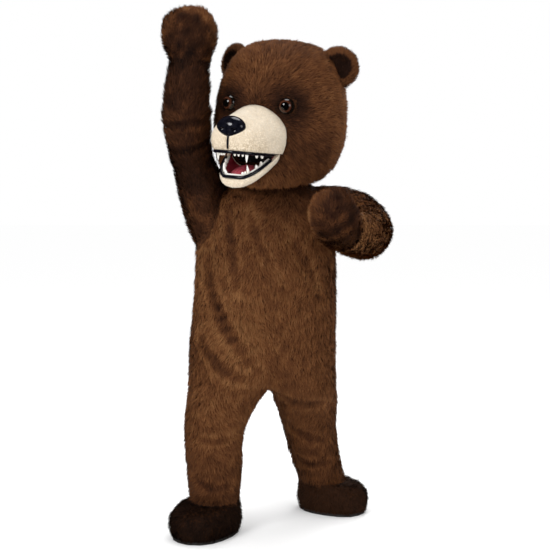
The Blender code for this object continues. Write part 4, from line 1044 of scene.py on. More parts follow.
SUIT_PLACE = Matrix.Translation(-HOLD)
HEAD_PLACE = SUIT_PLACE @ HEAD_FRAME
ZIP_LOW = 0.795
ZIP_CLEAR = 0.016         # how far the pile keeps from the zip's middle
# Painted shade in the pile's creases, with a painted highlight at their edges
DEEPEST_FOLD = 0.012      # the pile lies dark in a crease this deep, and light at its edge

LONG_PILE = {"long": 0.026, "wide": 0.0026, "lift": 34, "swirl": 0.45, "stray": 0.28,
             "tuft": 0.20, "fine": 0.16, "shade": 0.35, "droop": 0.15}
HEAD_PILE = dict(LONG_PILE, long=0.024, lift=36, swirl=0.35)
MITT_PILE = dict(LONG_PILE, long=0.022, wide=0.0024, lift=42, swirl=0.7, stray=0.4)
SHORT_PILE = {"long": 0.0050, "wide": 0.0013, "lift": 40, "swirl": 0.3, "stray": 0.5,
              "tuft": 0.04, "fine": 0.04, "shade": 0.06, "droop": 0.0}

# Each sewn piece: its body, the slot of its finish, strands, tone and pile
PIECE_COLUMNS = ("name", "body", "slot", "strands", "tone", "pile")
PIECES = rows_of(PIECE_COLUMNS, [
    ("suit_front_right", "suit", "brown_fur", 39000, 0.585, LONG_PILE),
    ("suit_front_left", "suit", "brown_fur", 37000, 0.55, LONG_PILE),
    ("suit_back_right", "suit", "brown_fur", 30000, 0.57, LONG_PILE),
    ("suit_back_left", "suit", "brown_fur", 29000, 0.57, LONG_PILE),
    # Painted shade: the raised right sleeve's tone is set darker than the rest of the suit
    ("sleeve_right", "suit", "brown_fur", 21000, 0.34, LONG_PILE),
    ("sleeve_left", "suit", "brown_fur", 20000, 0.58, LONG_PILE),
    ("mitt_right_palm", "suit", "dark_fur", 6000, 0.32, MITT_PILE),
    ("mitt_right_back", "suit", "brown_fur", 5000, 0.50, MITT_PILE),
    ("mitt_left_palm", "suit", "dark_fur", 6000, 0.24, MITT_PILE),
    ("mitt_left_back", "suit", "brown_fur", 5000, 0.66, MITT_PILE),
    ("foot_right", "suit", "dark_fur", 9000, 0.22, MITT_PILE),
    ("foot_left", "suit", "dark_fur", 8000, 0.42, MITT_PILE),
    ("head_front", "head", "brown_fur", 25000, 0.52, HEAD_PILE),
    ("head_back", "head", "brown_fur", 22000, 0.56, HEAD_PILE),
])


def off_the_zip(found):
    """Keep the roots that lie clear of the zip."""
    own = found["own"]
    middle = np.interp(own[:, 2], [row["z"] for row in MIDDLE], [row["x"] for row in MIDDLE])
    beside = np.abs(own[:, 0] - middle) < ZIP_CLEAR
    return ~(beside & (own[:, 2] > ZIP_LOW))


COVER_MARGIN = 0.004      # the head's pile starts this far under the muzzle and the jaw
EYE_CLEAR = 0.003
EAR_COVER = 0.92          # the share of an ear that keeps the head's pile off
FACE_FRONT_Y = -0.10


def along_y(own, sections, name):
    """Read one column of the muzzle's or the jaw's table at each place."""
    return np.interp(own[:, 1], [row["y"] for row in sections], [row[name] for row in sections])


def inside_form(own, sections):
    """Tell which places lie inside the muzzle's or the jaw's outline, seen from the front."""
    x = np.abs(own[:, 0]) / (along_y(own, sections, "wide") - COVER_MARGIN)
    high = along_y(own, sections, "high") - COVER_MARGIN
    z = np.abs(own[:, 2] - along_y(own, sections, "z")) / high
    return (x ** SECTION_POWER + z ** SECTION_POWER < 1) & (own[:, 1] < FACE_FRONT_Y)


def clear_of_face(found):
    """Keep the roots that no part of the face covers."""
    own = found["own"]
    covered = inside_form(own, MUZZLE) | inside_form(own, JAW)
    for eye in EYES.values():
        covered |= np.linalg.norm(own - np.array(eye), axis=1) < EYE_RADIUS + EYE_CLEAR
    for ear_side in EARS.values():
        middle, turned = ear_place(ear_side)
        local = (own - np.array(middle)) @ np.array(turned.to_3x3())
        covered |= np.linalg.norm(local / EAR_RADII, axis=1) < EAR_COVER
    return ~covered


# How much darker the pile is at its darkest, and where: at a height or a distance, fading over
# the reach, or below a start, growing over a span
EYE_SHADE = {"deep": 0.62, "reach": 0.064, "stretch": (1.25, 1.0, 1.0)}
CHEEK_SHADE = {"deep": 0.16, "z": -0.13, "reach": 0.09, "front": -0.05}
HEAD_DARKEST = 0.50
# Painted light and shade on the suit: a shadow on the chest under the head, shade low on the legs
# and at the raised right wrist, light on the bent left forearm's front
CHEST_PAINTED_SHADOW = {"deep": 0.24, "z": 1.41, "reach": 0.09, "front": 0.12}
LEG_PAINTED_SHADE = {"deep": 0.18, "start": 0.56, "over": 0.42}
WRIST_PAINTED_SHADE = {"deep": 0.16, "z": 1.86, "reach": 0.05}
FOREARM_PAINTED_LIGHT = {"deep": 0.20, "start": 0.08, "over": 0.14}


def band(own, shade):
    """Give a shade round its height."""
    return shade["deep"] * near(own[:, 2], shade["z"], shade["reach"])


def head_shade(own):
    """Darken the pile round the eyes and beside the muzzle."""
    total = np.zeros(len(own))
    for eye in EYES.values():
        away = np.linalg.norm((own - np.array(eye)) / EYE_SHADE["stretch"], axis=1)
        total += EYE_SHADE["deep"] * near(away, 0, EYE_SHADE["reach"])
    total += band(own, CHEEK_SHADE) * (own[:, 1] < CHEEK_SHADE["front"])
    return np.minimum(total, HEAD_DARKEST)


def suit_painted_light_and_shade(name, own):
    """Paint shade on the pile: a shadow on the chest under the head, shade low on the legs and at
    the raised wrist, and paint light on the front of the bent left forearm.
    """
    total = band(own, CHEST_PAINTED_SHADOW) * (own[:, 1] < CHEST_PAINTED_SHADOW["front"])
    if name.startswith("suit"):
        total += LEG_PAINTED_SHADE["deep"] * rise(own[:, 2], LEG_PAINTED_SHADE["start"], LEG_PAINTED_SHADE["over"])
    total += band(own, WRIST_PAINTED_SHADE)
    if name == "sleeve_left":
        light = FOREARM_PAINTED_LIGHT
        total -= light["deep"] * rise(own[:, 1], light["start"], light["over"])
    return total


PALM_RIM = 0.34           # how much lighter the pile is at a palm's edge than at its middle
# How strongly the tone varies: over patches, tufts and single hairs, and in a crease, where shade is
# painted dark with a painted highlight at its edge
PATCHES = 0.09
TUFTS = 0.05
MITT_TUFTS = 0.10
HAIRS = 0.06
FOLD_EDGE_PAINTED_HIGHLIGHT = {"lighter": 0.11, "at": 0.22, "reach": 0.11}
FOLD_PAINTED_SHADE = {"deep": 0.40, "power": 2.2, "most": 1.3}


def tones_of(piece, found):
    """Give each strand its tone: the piece's own, soft patches, painted shade in creases with a
    painted highlight at their edges, painted light and shade, and single hairs.
    """
    own = found["own"]
    tone = piece["tone"] + PATCHES * noise("wide", own) + TUFTS * noise("tuft", own)
    # Painted shade in the creases, with a painted highlight beside them
    pressed = np.clip(found["folds"][:, 0] / DEEPEST_FOLD, 0, FOLD_PAINTED_SHADE["most"])
    tone += FOLD_EDGE_PAINTED_HIGHLIGHT["lighter"] * near(pressed, FOLD_EDGE_PAINTED_HIGHLIGHT["at"], FOLD_EDGE_PAINTED_HIGHLIGHT["reach"])
    tone -= FOLD_PAINTED_SHADE["deep"] * pressed ** FOLD_PAINTED_SHADE["power"]
    if piece["body"] == "head":
        tone -= head_shade(own)
    else:
        # Painted light and shade on the suit's pile
        tone -= suit_painted_light_and_shade(piece["name"], own)
    if piece["name"].startswith("mitt"):
        tone += MITT_TUFTS * noise("tuft", own)
    if "palm" in piece["name"]:
        away = np.linalg.norm(own - own.mean(axis=0), axis=1)
        tone += PALM_RIM * np.clip(away / away.max() * 2.2 - 1, 0, 1)
    return tone + rng.normal(0, HAIRS, len(own))


def dress(made, body, material):
    """Finish a piece: set it on its body and give it its material."""
    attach(made, body)
    made.data.materials.append(material)
    return made


for piece in PIECES:
    name = piece["name"]
    of_head = piece["body"] == "head"
    cloth = head if of_head else suit
    place = HEAD_PLACE if of_head else SUIT_PLACE
    wall_points, wall_faces = cloth.cut(name, SKIN_WALL)
    backing = new_object(f"{name}_backing", [place @ spot for spot in wall_points], wall_faces)
    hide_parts(name)
    dress(backing, piece["body"], brown_backing)
    keep = clear_of_face if of_head else off_the_zip if name.startswith("suit_back") else None
    roots = scatter(surface_of(cloth, name, place), piece["strands"], keep)
    pile = strands(f"{name}_pile", roots, tones_of(piece, roots), piece["pile"])
    dress(pile, piece["body"], dark_fur if name.startswith("foot") else brown_fur)
    wide, long = cloth.flat_size(name)


# The face. Its forms are the solids' own, with more points.
FACE_FINER = 4
FACE_POWER = 0.88
FACE_TIP_ROWS = 12        # the rows round the tip, which shrink fully along Y, the others by half
LEAST_WIDE = 0.004
LEAST_HIGH = 0.003
ROOT_REACH = 0.05         # a hollow reaches this much further back than its cup


def loft(name, sections, shrink, back=0.0):
    """Make a closed form from upright oval sections along Y, made smaller by shrink."""
    points = []
    pinch = BRIDGE_PINCH if sections is MUZZLE else 0.0
    sections = finer(sections, MUZZLE_COLUMNS, FACE_FINER)
    last = len(sections) - 1
    for i, row in enumerate(sections):
        wide = max(row["wide"] - shrink, LEAST_WIDE)
        high = max(row["high"] - shrink, LEAST_HIGH)
        y = row["y"] + shrink * (1 if i < FACE_TIP_ROWS else 0.5) + (back if i == last else 0)
        for turn in turns_round(FACE_ROUND):
            narrow = 1 - pinch * max(math.sin(turn), 0.0) ** 2
            x = wide * narrow * signed_power(math.cos(turn), FACE_POWER)
            points.append(Vector((x, y, row["z"] + high * signed_power(math.sin(turn), FACE_POWER))))
    return new_object(name, points, capped_faces(last + 1, FACE_ROUND))


def tube_faces(rows, around):
    """Give the faces between rows of points that each go round once."""
    return [[i * around + (k + 1) % around, i * around + k, (i + 1) * around + k,
             (i + 1) * around + (k + 1) % around]
            for i in range(rows - 1) for k in range(around)]


def capped_faces(rows, around):
    """Give the faces of a closed tube: its two ends and what lies between."""
    first = list(range(around))
    last = [(rows - 1) * around + k for k in reversed(first)]
    return [first, last] + tube_faces(rows, around)


def closed_head(grow):
    """Make the head's form, closed, a little larger by grow."""
    cloth = Cloth()
    sections = [dict(row, wide=row["wide"] + grow, front=row["front"] + grow,
                     back=row["back"] + grow)
                for row in finer(HEAD_SECTIONS, HEAD_COLUMNS, FINER)]
    rows = head_rows(cloth, sections)
    top = cloth.add((0, 0, HEAD_TOP + grow))
    for low, high in zip(rows, rows[1:] + [[top] * HEAD_ROUND]):
        cloth.strip(low, high, ["all"] * HEAD_ROUND, (0, 0, 0), closed=True)
    faces = [corners for _, corners in cloth.faces] + [rows[0]]
    made = new_object("fit", cloth.points, faces)
    outward(made)
    return made


def change_faces(made, change):
    """Change all faces of an object's mesh in one way."""
    opened = bmesh.new()
    opened.from_mesh(made.data)
    change(opened, faces=opened.faces)
    opened.to_mesh(made.data)
    opened.free()


def outward(made):
    """Turn every face of a closed mesh outward."""
    change_faces(made, bmesh.ops.recalc_face_normals)


def combine(target, other, operation='DIFFERENCE'):
    """Apply a Boolean to target, and remove the other object."""
    for made in (target, other):
        change_faces(made, bmesh.ops.triangulate)
    modifier = target.modifiers.new("combine", 'BOOLEAN')
    modifier.operation = operation
    modifier.solver = 'EXACT'
    modifier.object = other
    bpy.context.view_layer.update()
    graph = bpy.context.evaluated_depsgraph_get()
    mesh = bpy.data.meshes.new_from_object(target.evaluated_get(graph))
    target.modifiers.remove(modifier)
    target.data = mesh
    bpy.data.objects.remove(other)
    return target


BLOCK_FACES = [[3, 2, 1, 0], [4, 5, 6, 7], [0, 1, 5, 4], [1, 2, 6, 5], [2, 3, 7, 6], [3, 0, 4, 7]]
CUT_Y = -0.2              # where a mouth edge's plane has its own height


def slab(cut_plane, above):
    """Make a large block whose face is the plane of a mouth edge."""
    half = 0.5
    points = [Vector((x * half, y * half, half + z * half if above else -half + z * half))
              for z in (-1, 1) for x, y in ((-1, -1), (1, -1), (1, 1), (-1, 1))]
    turned = (Matrix.Translation((0, CUT_Y, cut_plane["z"]))
              @ Matrix.Rotation(cut_plane["slope"], 4, 'X'))
    return new_object("slab", [turned @ spot for spot in points], BLOCK_FACES, smooth=False)


def edge_height(cut_plane, y):
    """Give the height of a mouth edge's plane."""
    return cut_plane["z"] + math.tan(cut_plane["slope"]) * (y - CUT_Y)


def ball(name, middle, radii, around=48, rows=28, turned=None, shape=None):
    """Make a closed ball, stretched by its three radii and pressed into shape."""
    points = []
    for i in range(1, rows):
        tilt = math.pi * i / rows - math.pi / 2
        for turn in turns_round(around):
            points.append(Vector((math.cos(tilt) * math.cos(turn),
                                  math.cos(tilt) * math.sin(turn), math.sin(tilt))))
    points += [Vector((0, 0, -1)), Vector((0, 0, 1))]
    low = len(points) - 2
    faces = tube_faces(rows - 1, around)
    for k in range(around):
        after = (k + 1) % around
        faces.append([low, k, after])
        faces.append([low + 1, (rows - 2) * around + after, (rows - 2) * around + k])
    if shape is not None:
        points = [shape(point) for point in points]
    turned = turned if turned is not None else Matrix.Identity(4)
    points = [turned @ Vector([r * c for r, c in zip(radii, point)]) + Vector(middle)
              for point in points]
    made = new_object(name, points, faces)
    outward(made)
    return made


def smooth_but_edges(made, degrees=40):
    """Shade a mesh smooth with its sharp edges kept."""
    made.data.shade_smooth()
    made.data.set_sharp_from_angle(angle=math.radians(degrees))


def on_head(made, slot, material, *nodes):
    """Set a finished piece of the face on the head in place of its solids."""
    made.data.transform(HEAD_PLACE)
    made.data.materials.clear()
    if nodes:
        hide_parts(*nodes)
    return dress(made, "head", material)


def face_cup(name, sections, cut_plane, above, shrink):
    """Make the muzzle or the jaw: an open cup whose root is fitted to the head."""
    cup = loft(name, sections, shrink)
    combine(cup, loft("hollow", sections, MUZZLE_WALL, ROOT_REACH))
    combine(cup, slab(cut_plane, above))
    combine(cup, closed_head(-SKIN_DEEP))
    smooth_but_edges(cup)
    return cup


def lining(name, sections, cut_plane, above):
    """Make the red skin inside the muzzle or the jaw."""
    skin = loft(name, sections, MUZZLE_WALL + SEAM, ROOT_REACH)
    combine(skin, loft("hollow", sections, MUZZLE_WALL + LINING_WALL, ROOT_REACH))
    combine(skin, slab(cut_plane, above))
    combine(skin, closed_head(SEAM))
    smooth_but_edges(skin)
    return skin


PLUSH_DEEP = 0.0020       # the cream plush stands this high on its foam
CUP_MIDDLE_Y = -0.33      # ahead of this the cups' outsides look forward too
LOOKS_OUT = 0.25
EDGE_THICK = 0.0012
LOOKS_UP = 0.9
NOSE_CLEAR = 1.02
HEAD_AT_CUPS = (0.262, 0.228, 0.34)       # the head's radii at the cups' roots
HEAD_CLEAR = 0.93


def on_outside(sections, cut_plane):
    """Give a test that keeps roots on a cup's outside, off its edge, the nose and the head."""
    def keep(found):
        """Test each root."""
        own = found["own"]
        normals = found["normals"] @ np.array(HEAD_PLACE.to_3x3())
        ahead = np.minimum(own[:, 1] - CUP_MIDDLE_Y, 0)
        away = np.stack([own[:, 0], ahead, own[:, 2] - along_y(own, sections, "z")], axis=1)
        outside = (unit(away) * normals).sum(axis=1) > LOOKS_OUT
        at_edge = np.abs(own[:, 2] - edge_height(cut_plane, own[:, 1])) < EDGE_THICK
        on_edge = at_edge & (np.abs(normals[:, 2]) > LOOKS_UP)
        under_nose = np.linalg.norm((own - NOSE_MIDDLE) / NOSE_RADII, axis=1) < NOSE_CLEAR
        radius = np.linalg.norm(own / HEAD_AT_CUPS, axis=1)
        return outside & ~on_edge & ~under_nose & (radius > HEAD_CLEAR)
    return keep


# The muzzle and the jaw: each is an open cup with short pile outside and a red skin inside
CUPS = rows_of(("name", "skin", "sections", "cut", "above", "strands"), [
    ("muzzle", "palate", MUZZLE, MUZZLE_CUT, False, 11000),
    ("lower_jaw", "mouth_floor", JAW, JAW_CUT, True, 5000),
])
PLUSH_NAP_FROM = NOSE_TIP + Vector((0, 0.02, 0.02))
PLUSH_LEAN = (0, 0.3, -0.1)
PLUSH_TONE = 0.80
PLUSH_TUFTS = 0.05
TRIES = 3                 # roots tried for each one kept
LIP_SHADE = {"deep": 0.42, "z": -0.150, "reach": 0.034, "y": -0.37, "along": 0.07}
CLEFT_SHADE = {"deep": 0.25, "reach": 0.012, "front": -0.37}


def muzzle_shade(own):
    """Darken the muzzle's plush over the front lip and in the cleft."""
    lip = band(own, LIP_SHADE) * near(own[:, 1], LIP_SHADE["y"], LIP_SHADE["along"])
    cleft = CLEFT_SHADE["deep"] * np.exp(-np.abs(own[:, 0]) / CLEFT_SHADE["reach"])
    return lip + cleft * (own[:, 1] < CLEFT_SHADE["front"])


for cup in CUPS:
    name = cup["name"]
    made = face_cup(f"{name}_plush", cup["sections"], cup["cut"], cup["above"], PLUSH_DEEP)
    surface = surface_of_mesh(made, PLUSH_NAP_FROM, PLUSH_LEAN, HEAD_PLACE)
    roots = scatter(surface, cup["strands"] * TRIES, on_outside(cup["sections"], cup["cut"]))
    roots = {key: values[:cup["strands"]] for key, values in roots.items()}
    own = roots["own"]
    tone = PLUSH_TONE + PLUSH_TUFTS * noise("tuft", own) + rng.normal(0, 0.05, len(own))
    if name == "muzzle":
        tone -= muzzle_shade(own)
    pile = strands(f"{name}_pile", roots, tone, SHORT_PILE)
    dress(pile, "head", cream_fur)
    on_head(made, "cream_plush", cream_plush, name)
for cup in CUPS:
    skin = lining(f"{cup['skin']}_skin", cup["sections"], cup["cut"], cup["above"])
    on_head(skin, "mouth_red", mouth_red, cup["skin"])


def nose_shape(point):
    """Press two nostrils and the groove between them into the nose."""
    pressed = point.copy()
    for side in (-1, 1):
        away = Vector((point.x - side * 0.42, (point.y + 0.80) * 0.6, (point.z + 0.30) * 1.5))
        pressed -= point * 0.38 * math.exp(-(away.length / 0.20) ** 2)
    groove = math.exp(-(point.x / 0.07) ** 2) * step((0.35 - point.z) / 0.8) * step(-point.y * 2)
    pressed -= point * 0.10 * groove
    pressed.x *= 1 - 0.18 * step(-point.z)
    return pressed


nose = ball("nose_pad", NOSE_MIDDLE, NOSE_RADII, 96, 64, shape=nose_shape)
combine(nose, loft("fit", MUZZLE, PLUSH_DEEP))
smooth_but_edges(nose, 60)
on_head(nose, "black_gloss", black_gloss, "nose")


def tongue_shape(point):
    """Press a soft groove along the tongue."""
    pressed = point.copy()
    pressed.z -= 0.45 * math.exp(-(point.x / 0.16) ** 2) * step(point.z * 2)
    return pressed


tongue = ball("tongue_form", (0, -0.280, -0.246), (0.052, 0.068, 0.016), 56, 28,
              Matrix.Rotation(JAW_CUT["slope"], 4, 'X'), tongue_shape)
combine(tongue, closed_head(SEAM))
combine(tongue, loft("fit", JAW, MUZZLE_WALL + LINING_WALL + SEAM, ROOT_REACH), 'INTERSECT')
smooth_but_edges(tongue, 60)
on_head(tongue, "mouth_red", tongue_red, "tongue")


LIP_STEPS = 56


def lip_path(sections, cut_plane, inset, drop, start):
    """Follow the edge of a cup round its front, from one corner of the mouth to the other."""
    front = sections[0]["y"] + inset
    path = []
    for i in range(LIP_STEPS + 1):
        turn = math.pi * i / LIP_STEPS
        y = start + (front - start) * math.sin(turn) ** 0.9
        edge_z = edge_height(cut_plane, y)
        wide = column(sections, "y", "wide", y)
        high = column(sections, "y", "high", y)
        level = min(abs(edge_z - column(sections, "y", "z", y)) / high, 0.95)
        reach = max(wide * (1 - level ** SECTION_POWER) ** (1 / SECTION_POWER) - inset, 0.0)
        limit = (column(sections, "y", "wide", start) - inset) * abs(math.cos(turn)) ** 0.5
        path.append(Vector((math.copysign(min(reach, limit), math.cos(turn)), y, edge_z + drop)))
    return path


def edge_turn(cut_plane):
    """Give the turn that lays a level direction along a cup's edge."""
    return Matrix.Rotation(cut_plane["slope"], 3, 'X')


def inside_path(path, distance, turned):
    """Move a path sideways along its cup's edge, towards the inside of the mouth."""
    moved = []
    for spot, way in zip(path, directions(path)):
        across = way.cross(turned @ Vector((0, 0, 1))).normalized()
        middle = Vector((0, path[0].y, spot.z))
        if across.dot(middle - spot) < 0:
            across.negate()
        moved.append(spot + across * distance)
    return moved


def tube(name, path, radius, sides=14, swell=0.0):
    """Make a closed tube along a path, with a radius that may swell unevenly."""
    points = []
    for i, (spot, way) in enumerate(zip(path, directions(path))):
        across = way.cross(Vector((0, 0, 1)))
        if across.length < 0.2:
            across = Vector((1, 0, 0))
        across.normalize()
        other = across.cross(way)
        size = radius * (1 + swell * math.sin(i * 1.7) * math.sin(i * 0.53))
        if i in (0, len(path) - 1):
            size *= 0.5
        points += [spot + across * size * math.cos(turn) + other * size * math.sin(turn)
                   for turn in turns_round(sides)]
    made = new_object(name, points, capped_faces(len(path), sides))
    outward(made)
    return made


LIP_RADIUS = 0.006
LIP_INSET = 0.0065
MOUTH_CORNER_Y = -0.240
upper_path = lip_path(MUZZLE, MUZZLE_CUT, LIP_INSET, -LIP_RADIUS - SEAM, MOUTH_CORNER_Y)
lower_path = lip_path(JAW, JAW_CUT, LIP_INSET, (LIP_RADIUS + SEAM) / math.cos(JAW_CUT["slope"]),
                      MOUTH_CORNER_Y)
for name, path in (("upper_lip", upper_path), ("lower_lip", lower_path)):
    on_head(tube(f"{name}_roll", path, LIP_RADIUS, swell=0.08), "black_gloss", black_gloss, name)


TOOTH_ROUND = 16
TOOTH_LEVELS = 10
TOOTH_TIP = 0.98          # how far a tooth closes at its tip
TOOTH_LEAN = 0.10


def tooth_form(place, spot, way, turned):
    """Make one rounded tooth on the gum."""
    points = []
    for i in range(TOOTH_LEVELS):
        up = i / (TOOTH_LEVELS - 1)
        size = place["wide"] * (1 - (1 - place["blunt"]) * up) * math.sqrt(1 - TOOTH_TIP * up ** 4)
        lean = Vector((0, TOOTH_LEAN * place["long"] * up * up, way * place["long"] * up))
        points += [spot + turned @ (lean + Vector((size * math.cos(turn), size * math.sin(turn), 0)))
                   for turn in turns_round(TOOTH_ROUND)]
    made = new_object("tooth", points, capped_faces(TOOTH_LEVELS, TOOTH_ROUND))
    outward(made)
    return made


def teeth(name, path, way, turned):
    """Make a gum with its teeth as one mesh."""
    parts = [tube("gum", path, GUM_RADIUS)]
    for place in TEETH:
        whole = place["at"] * (len(path) - 1)
        low = min(int(whole), len(path) - 2)
        parts.append(tooth_form(place, path[low].lerp(path[low + 1], whole - low), way, turned))
    return joined(name, parts)


def joined(name, parts):
    """Join objects into one mesh."""
    whole = bmesh.new()
    for part in parts:
        whole.from_mesh(part.data)
        bpy.data.objects.remove(part)
    mesh = bpy.data.meshes.new(name)
    whole.to_mesh(mesh)
    whole.free()
    mesh.shade_smooth()
    return linked(name, mesh)


GUM_RADIUS = 0.0045
# Teeth on each side of the middle: how many, the first one's place and the step to the next, as
# shares of the edge, half their width, their length and how blunt they are
TOOTH_KINDS = rows_of(("count", "first", "next", "wide", "long", "blunt"), [
    (1, 0.200, 0.00, 0.0072, 0.034, 0.30),
    (3, 0.045, 0.05, 0.0052, 0.014, 0.75),
    (2, 0.330, 0.07, 0.0068, 0.016, 0.70),
])
TEETH = [dict(kind, at=0.5 + side * (kind["first"] + kind["next"] * i))
         for kind in TOOTH_KINDS for i in range(kind["count"]) for side in (-1, 1)]
GUM_AWAY = LIP_RADIUS + max(kind["wide"] for kind in TOOTH_KINDS) + SEAM
for name, path, way, cut_plane in (("upper_teeth", upper_path, -1, MUZZLE_CUT),
                                   ("lower_teeth", lower_path, 1, JAW_CUT)):
    turned = edge_turn(cut_plane)
    row = teeth(f"{name}_row", inside_path(path, GUM_AWAY, turned), way, turned)
    on_head(row, "tooth_ivory", tooth_ivory, name)


def eye_material():
    """Make glass with a brown iris and a black pupil."""
    made, nodes, links, shader = new_material("eye_glass", {"Roughness": 0.05, "IOR": 1.5})
    where = nodes.new("ShaderNodeTexCoord")
    length = nodes.new("ShaderNodeVectorMath")
    length.operation = 'NORMALIZE'
    links.new(where.outputs["Object"], length.inputs[0])
    toward = nodes.new("ShaderNodeVectorMath")
    toward.operation = 'DOT_PRODUCT'
    toward.inputs[1].default_value = (0, -1, 0)
    links.new(length.outputs["Vector"], toward.inputs[0])
    links.new(ramp(nodes, links, toward.outputs["Value"], [
        (0.0, (0.004, 0.003, 0.002)), (0.60, (0.004, 0.003, 0.002)), (0.64, (0.018, 0.006, 0.004)),
        (0.78, (0.052, 0.017, 0.008)), (0.85, (0.030, 0.010, 0.005)), (0.87, (0.001, 0.001, 0.001)),
        (1.0, (0.001, 0.001, 0.001))]), shader.inputs["Base Color"])
    return made


# The eyes, each looking a little outward and down
LOOK_OUT = math.radians(14)
LOOK_DOWN = 0.06
eye_glass = eye_material()
for word, middle in EYES.items():
    look_out = math.copysign(LOOK_OUT, middle.x)
    made = ball(f"eye_{word}_glass", (0, 0, 0), [EYE_RADIUS] * 3, 64, 40)
    made.matrix_world = (HEAD_PLACE @ Matrix.Translation(middle)
                         @ Matrix.Rotation(look_out, 4, 'Z') @ Matrix.Rotation(LOOK_DOWN, 4, 'X'))
    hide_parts(f"eye_{word}")
    dress(made, "head", eye_glass)

# Ears: thick cups with the same pile, shorter and darker inside
EAR_PILE = dict(LONG_PILE, long=0.016, wide=0.0022, lift=46, swirl=0.3)
EAR_STRANDS = 5200
EAR_PILE_DEEP = 0.006
EAR_CUP_AT = Vector((0, -EAR_DEPTH * 1.25, 0.004))
EAR_NAP_FROM = Vector((0, 0, -0.09))
EAR_TONE = 0.50
CUPPED_DARKER = 0.42
CUPPED_SHARE = 0.92       # how much of the cup is dark
HEAD_AT_EARS = (0.262, 0.240, 0.279)      # the head's radii at the ears' roots


def outside_head(found):
    """Keep the roots that lie outside the head's own pile."""
    return np.linalg.norm(found["own"] / HEAD_AT_EARS, axis=1) > 0.97


for word, ear_side in EARS.items():
    middle, turned = ear_place(ear_side)
    name = f"ear_{word}"
    made = ball(f"{name}_backing", middle, [r - EAR_PILE_DEEP for r in EAR_RADII], turned=turned)
    cup_at = middle + turned @ EAR_CUP_AT
    combine(made, ball("cup", cup_at, (EAR_CUP, EAR_DEPTH, EAR_CUP), 40, 24, turned))
    combine(made, closed_head(-SKIN_DEEP))
    smooth_but_edges(made)
    surface = surface_of_mesh(made, middle + EAR_NAP_FROM, (0, 0, 0.2), HEAD_PLACE)
    roots = scatter(surface, EAR_STRANDS, outside_head)
    local = (roots["own"] - np.array(middle)) @ np.array(turned.to_3x3())
    in_cup = np.linalg.norm(local[:, (0, 2)], axis=1) < EAR_CUP * CUPPED_SHARE
    cupped = in_cup & (local[:, 1] < 0)
    tone = EAR_TONE - CUPPED_DARKER * cupped + rng.normal(0, 0.05, len(local))
    pile = strands(f"{name}_pile", roots, tone, EAR_PILE)
    dress(pile, "head", brown_fur)
    on_head(made, "brown_fur", brown_backing, name)

# The groove from the nose down to the mouth is stitched in black
GROOVE = {"top": -0.104, "long": 0.054, "front": -0.4155, "steps": 8, "radius": 0.0042}
MUZZLE_TIP = {"z": -0.118, "high": 0.068, "bow": 0.030, "power": 2.6}
groove = []
for i in range(GROOVE["steps"] + 1):
    z = GROOVE["top"] - GROOVE["long"] * i / GROOVE["steps"]
    slope = min(abs(z - MUZZLE_TIP["z"]) / MUZZLE_TIP["high"], 0.99)
    groove.append(Vector((0, GROOVE["front"] + MUZZLE_TIP["bow"] * slope ** MUZZLE_TIP["power"], z)))
on_head(tube("muzzle_stitching", groove, GROOVE["radius"], 10, 0.10), "black_gloss", black_gloss)

# Parts that keep their solids' own form
for name, material in (("vision_screen", screen_mesh), ("sole_right", sole_rubber),
                       ("sole_left", sole_rubber), ("zip_tape", zip_cloth),
                       ("zip_slider", zip_metal), ("zip_pull", zip_metal)):
    for material_slot in frame["nodes"][name].material_slots:
        material_slot.material = material

# The zip's teeth, along the middle of its tape
ZIP_PITCH = 0.0042
ZIP_END = 0.004           # the tape's end below the lowest tooth
ZIP_TOP = 1.355
ZIP_TEETH_OUT = 0.0004
ZIP_TOOTH = {"half": 0.0011, "inner": -0.0010, "outer": 0.0030, "thick": 0.0016}
TAPE_NEAR = 0.06          # the tape's points this near a tooth tell its place
TAPE_REACH = 0.025
SAME_ROW = 0.0015
tape = frame["nodes"]["zip_tape"]
tape_points = np.array([tuple(tape.matrix_world @ vertex.co) for vertex in tape.data.vertices])
tape_x, tape_y, tape_z = tape_points.T
tape_heights = np.sort(tape_z)
tape_backs = [tape_y[np.abs(tape_z - height) < SAME_ROW].max() for height in tape_heights]
tooth_outline = [(ZIP_TOOTH["inner"], 0.0), (ZIP_TOOTH["outer"], 0.0),
                 (ZIP_TOOTH["outer"], ZIP_TOOTH["thick"]), (ZIP_TOOTH["inner"], ZIP_TOOTH["thick"])]
points = []
faces = []
for i, z in enumerate(np.arange(ZIP_LOW + ZIP_END - HOLD.z, ZIP_TOP - HOLD.z, ZIP_PITCH)):
    close_by = np.abs(tape_z - z) < TAPE_NEAR
    weights = near(tape_z[close_by], z, TAPE_REACH)
    x = (tape_x[close_by] * weights).sum() / weights.sum()
    y = np.interp(z, tape_heights, tape_backs) + ZIP_TEETH_OUT
    side = 1 if i % 2 else -1
    faces += [[len(points) + corner for corner in face] for face in BLOCK_FACES]
    points += [Vector((x + side * dx, y + dy, z + dz))
               for dz in (-ZIP_TOOTH["half"], ZIP_TOOTH["half"]) for dx, dy in tooth_outline]
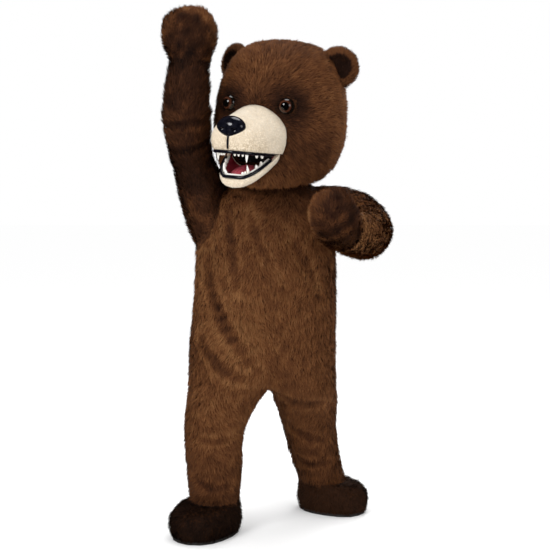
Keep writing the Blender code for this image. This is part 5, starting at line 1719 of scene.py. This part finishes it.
zip_row = new_object("zip_teeth", points, faces, smooth=False)
outward(zip_row)
dress(zip_row, "suit", zip_metal)

# The studio: a pale floor, a white surround and soft lamps
FLOOR_SIZE = 40.0
floor = new_object("floor", [Vector((x * FLOOR_SIZE, y * FLOOR_SIZE, FLOOR_Z))
                             for x, y in ((-1, -1), (1, -1), (1, 1), (-1, 1))], [[0, 1, 2, 3]],
                   smooth=False)
floor.data.materials.append(new_material("floor_white", {
    "Base Color": (0.99, 0.99, 0.99, 1.0), "Roughness": 1.0, "Specular IOR Level": 0.0})[0])
floor.visible_glossy = False
world = bpy.data.worlds.new("surround")
world.use_nodes = True
background = world.node_tree.nodes["Background"]
background.inputs["Color"].default_value = (1.0, 1.0, 1.0, 1.0)
background.inputs["Strength"].default_value = 1.0
bpy.context.scene.world = world
world.cycles_visibility.glossy = False
bpy.context.scene.view_settings.view_transform = 'Standard'

LAMP_COLUMNS = ("name", "place", "size", "watts", "aim")
LAMPS = rows_of(LAMP_COLUMNS, [
    ("key", (-2.6, -3.4, 1.9), 1.8, 90, (0.0, 0.0, -0.2)),
    ("fill", (3.0, -3.0, 0.8), 2.2, 30, (0.0, 0.0, -0.3)),
    ("top", (0.3, 0.2, 3.2), 2.0, 40, (0.0, 0.0, 0.0)),
    ("back", (1.5, 3.4, 1.6), 2.2, 50, (0.0, 0.0, 0.0)),
])
for row in LAMPS:
    lamp_data = bpy.data.lights.new(row["name"], 'AREA')
    lamp_data.shape = 'DISK'
    lamp_data.size = row["size"]
    lamp_data.energy = row["watts"]
    lamp = linked(row["name"], lamp_data)
    lamp.location = row["place"]
    aim = Vector(row["aim"]) - lamp.location
    lamp.rotation_euler = aim.to_track_quat('-Z', 'Y').to_euler()

camera_data = bpy.data.cameras.new("camera")
camera_data.lens = 70.5
camera_data.sensor_width = 36.0
camera = linked("camera", camera_data)
camera.location = (0.02, -4.32, -0.05)
camera.rotation_euler = (math.radians(90 - 4.4), 0, 0)
bpy.context.scene.camera = camera
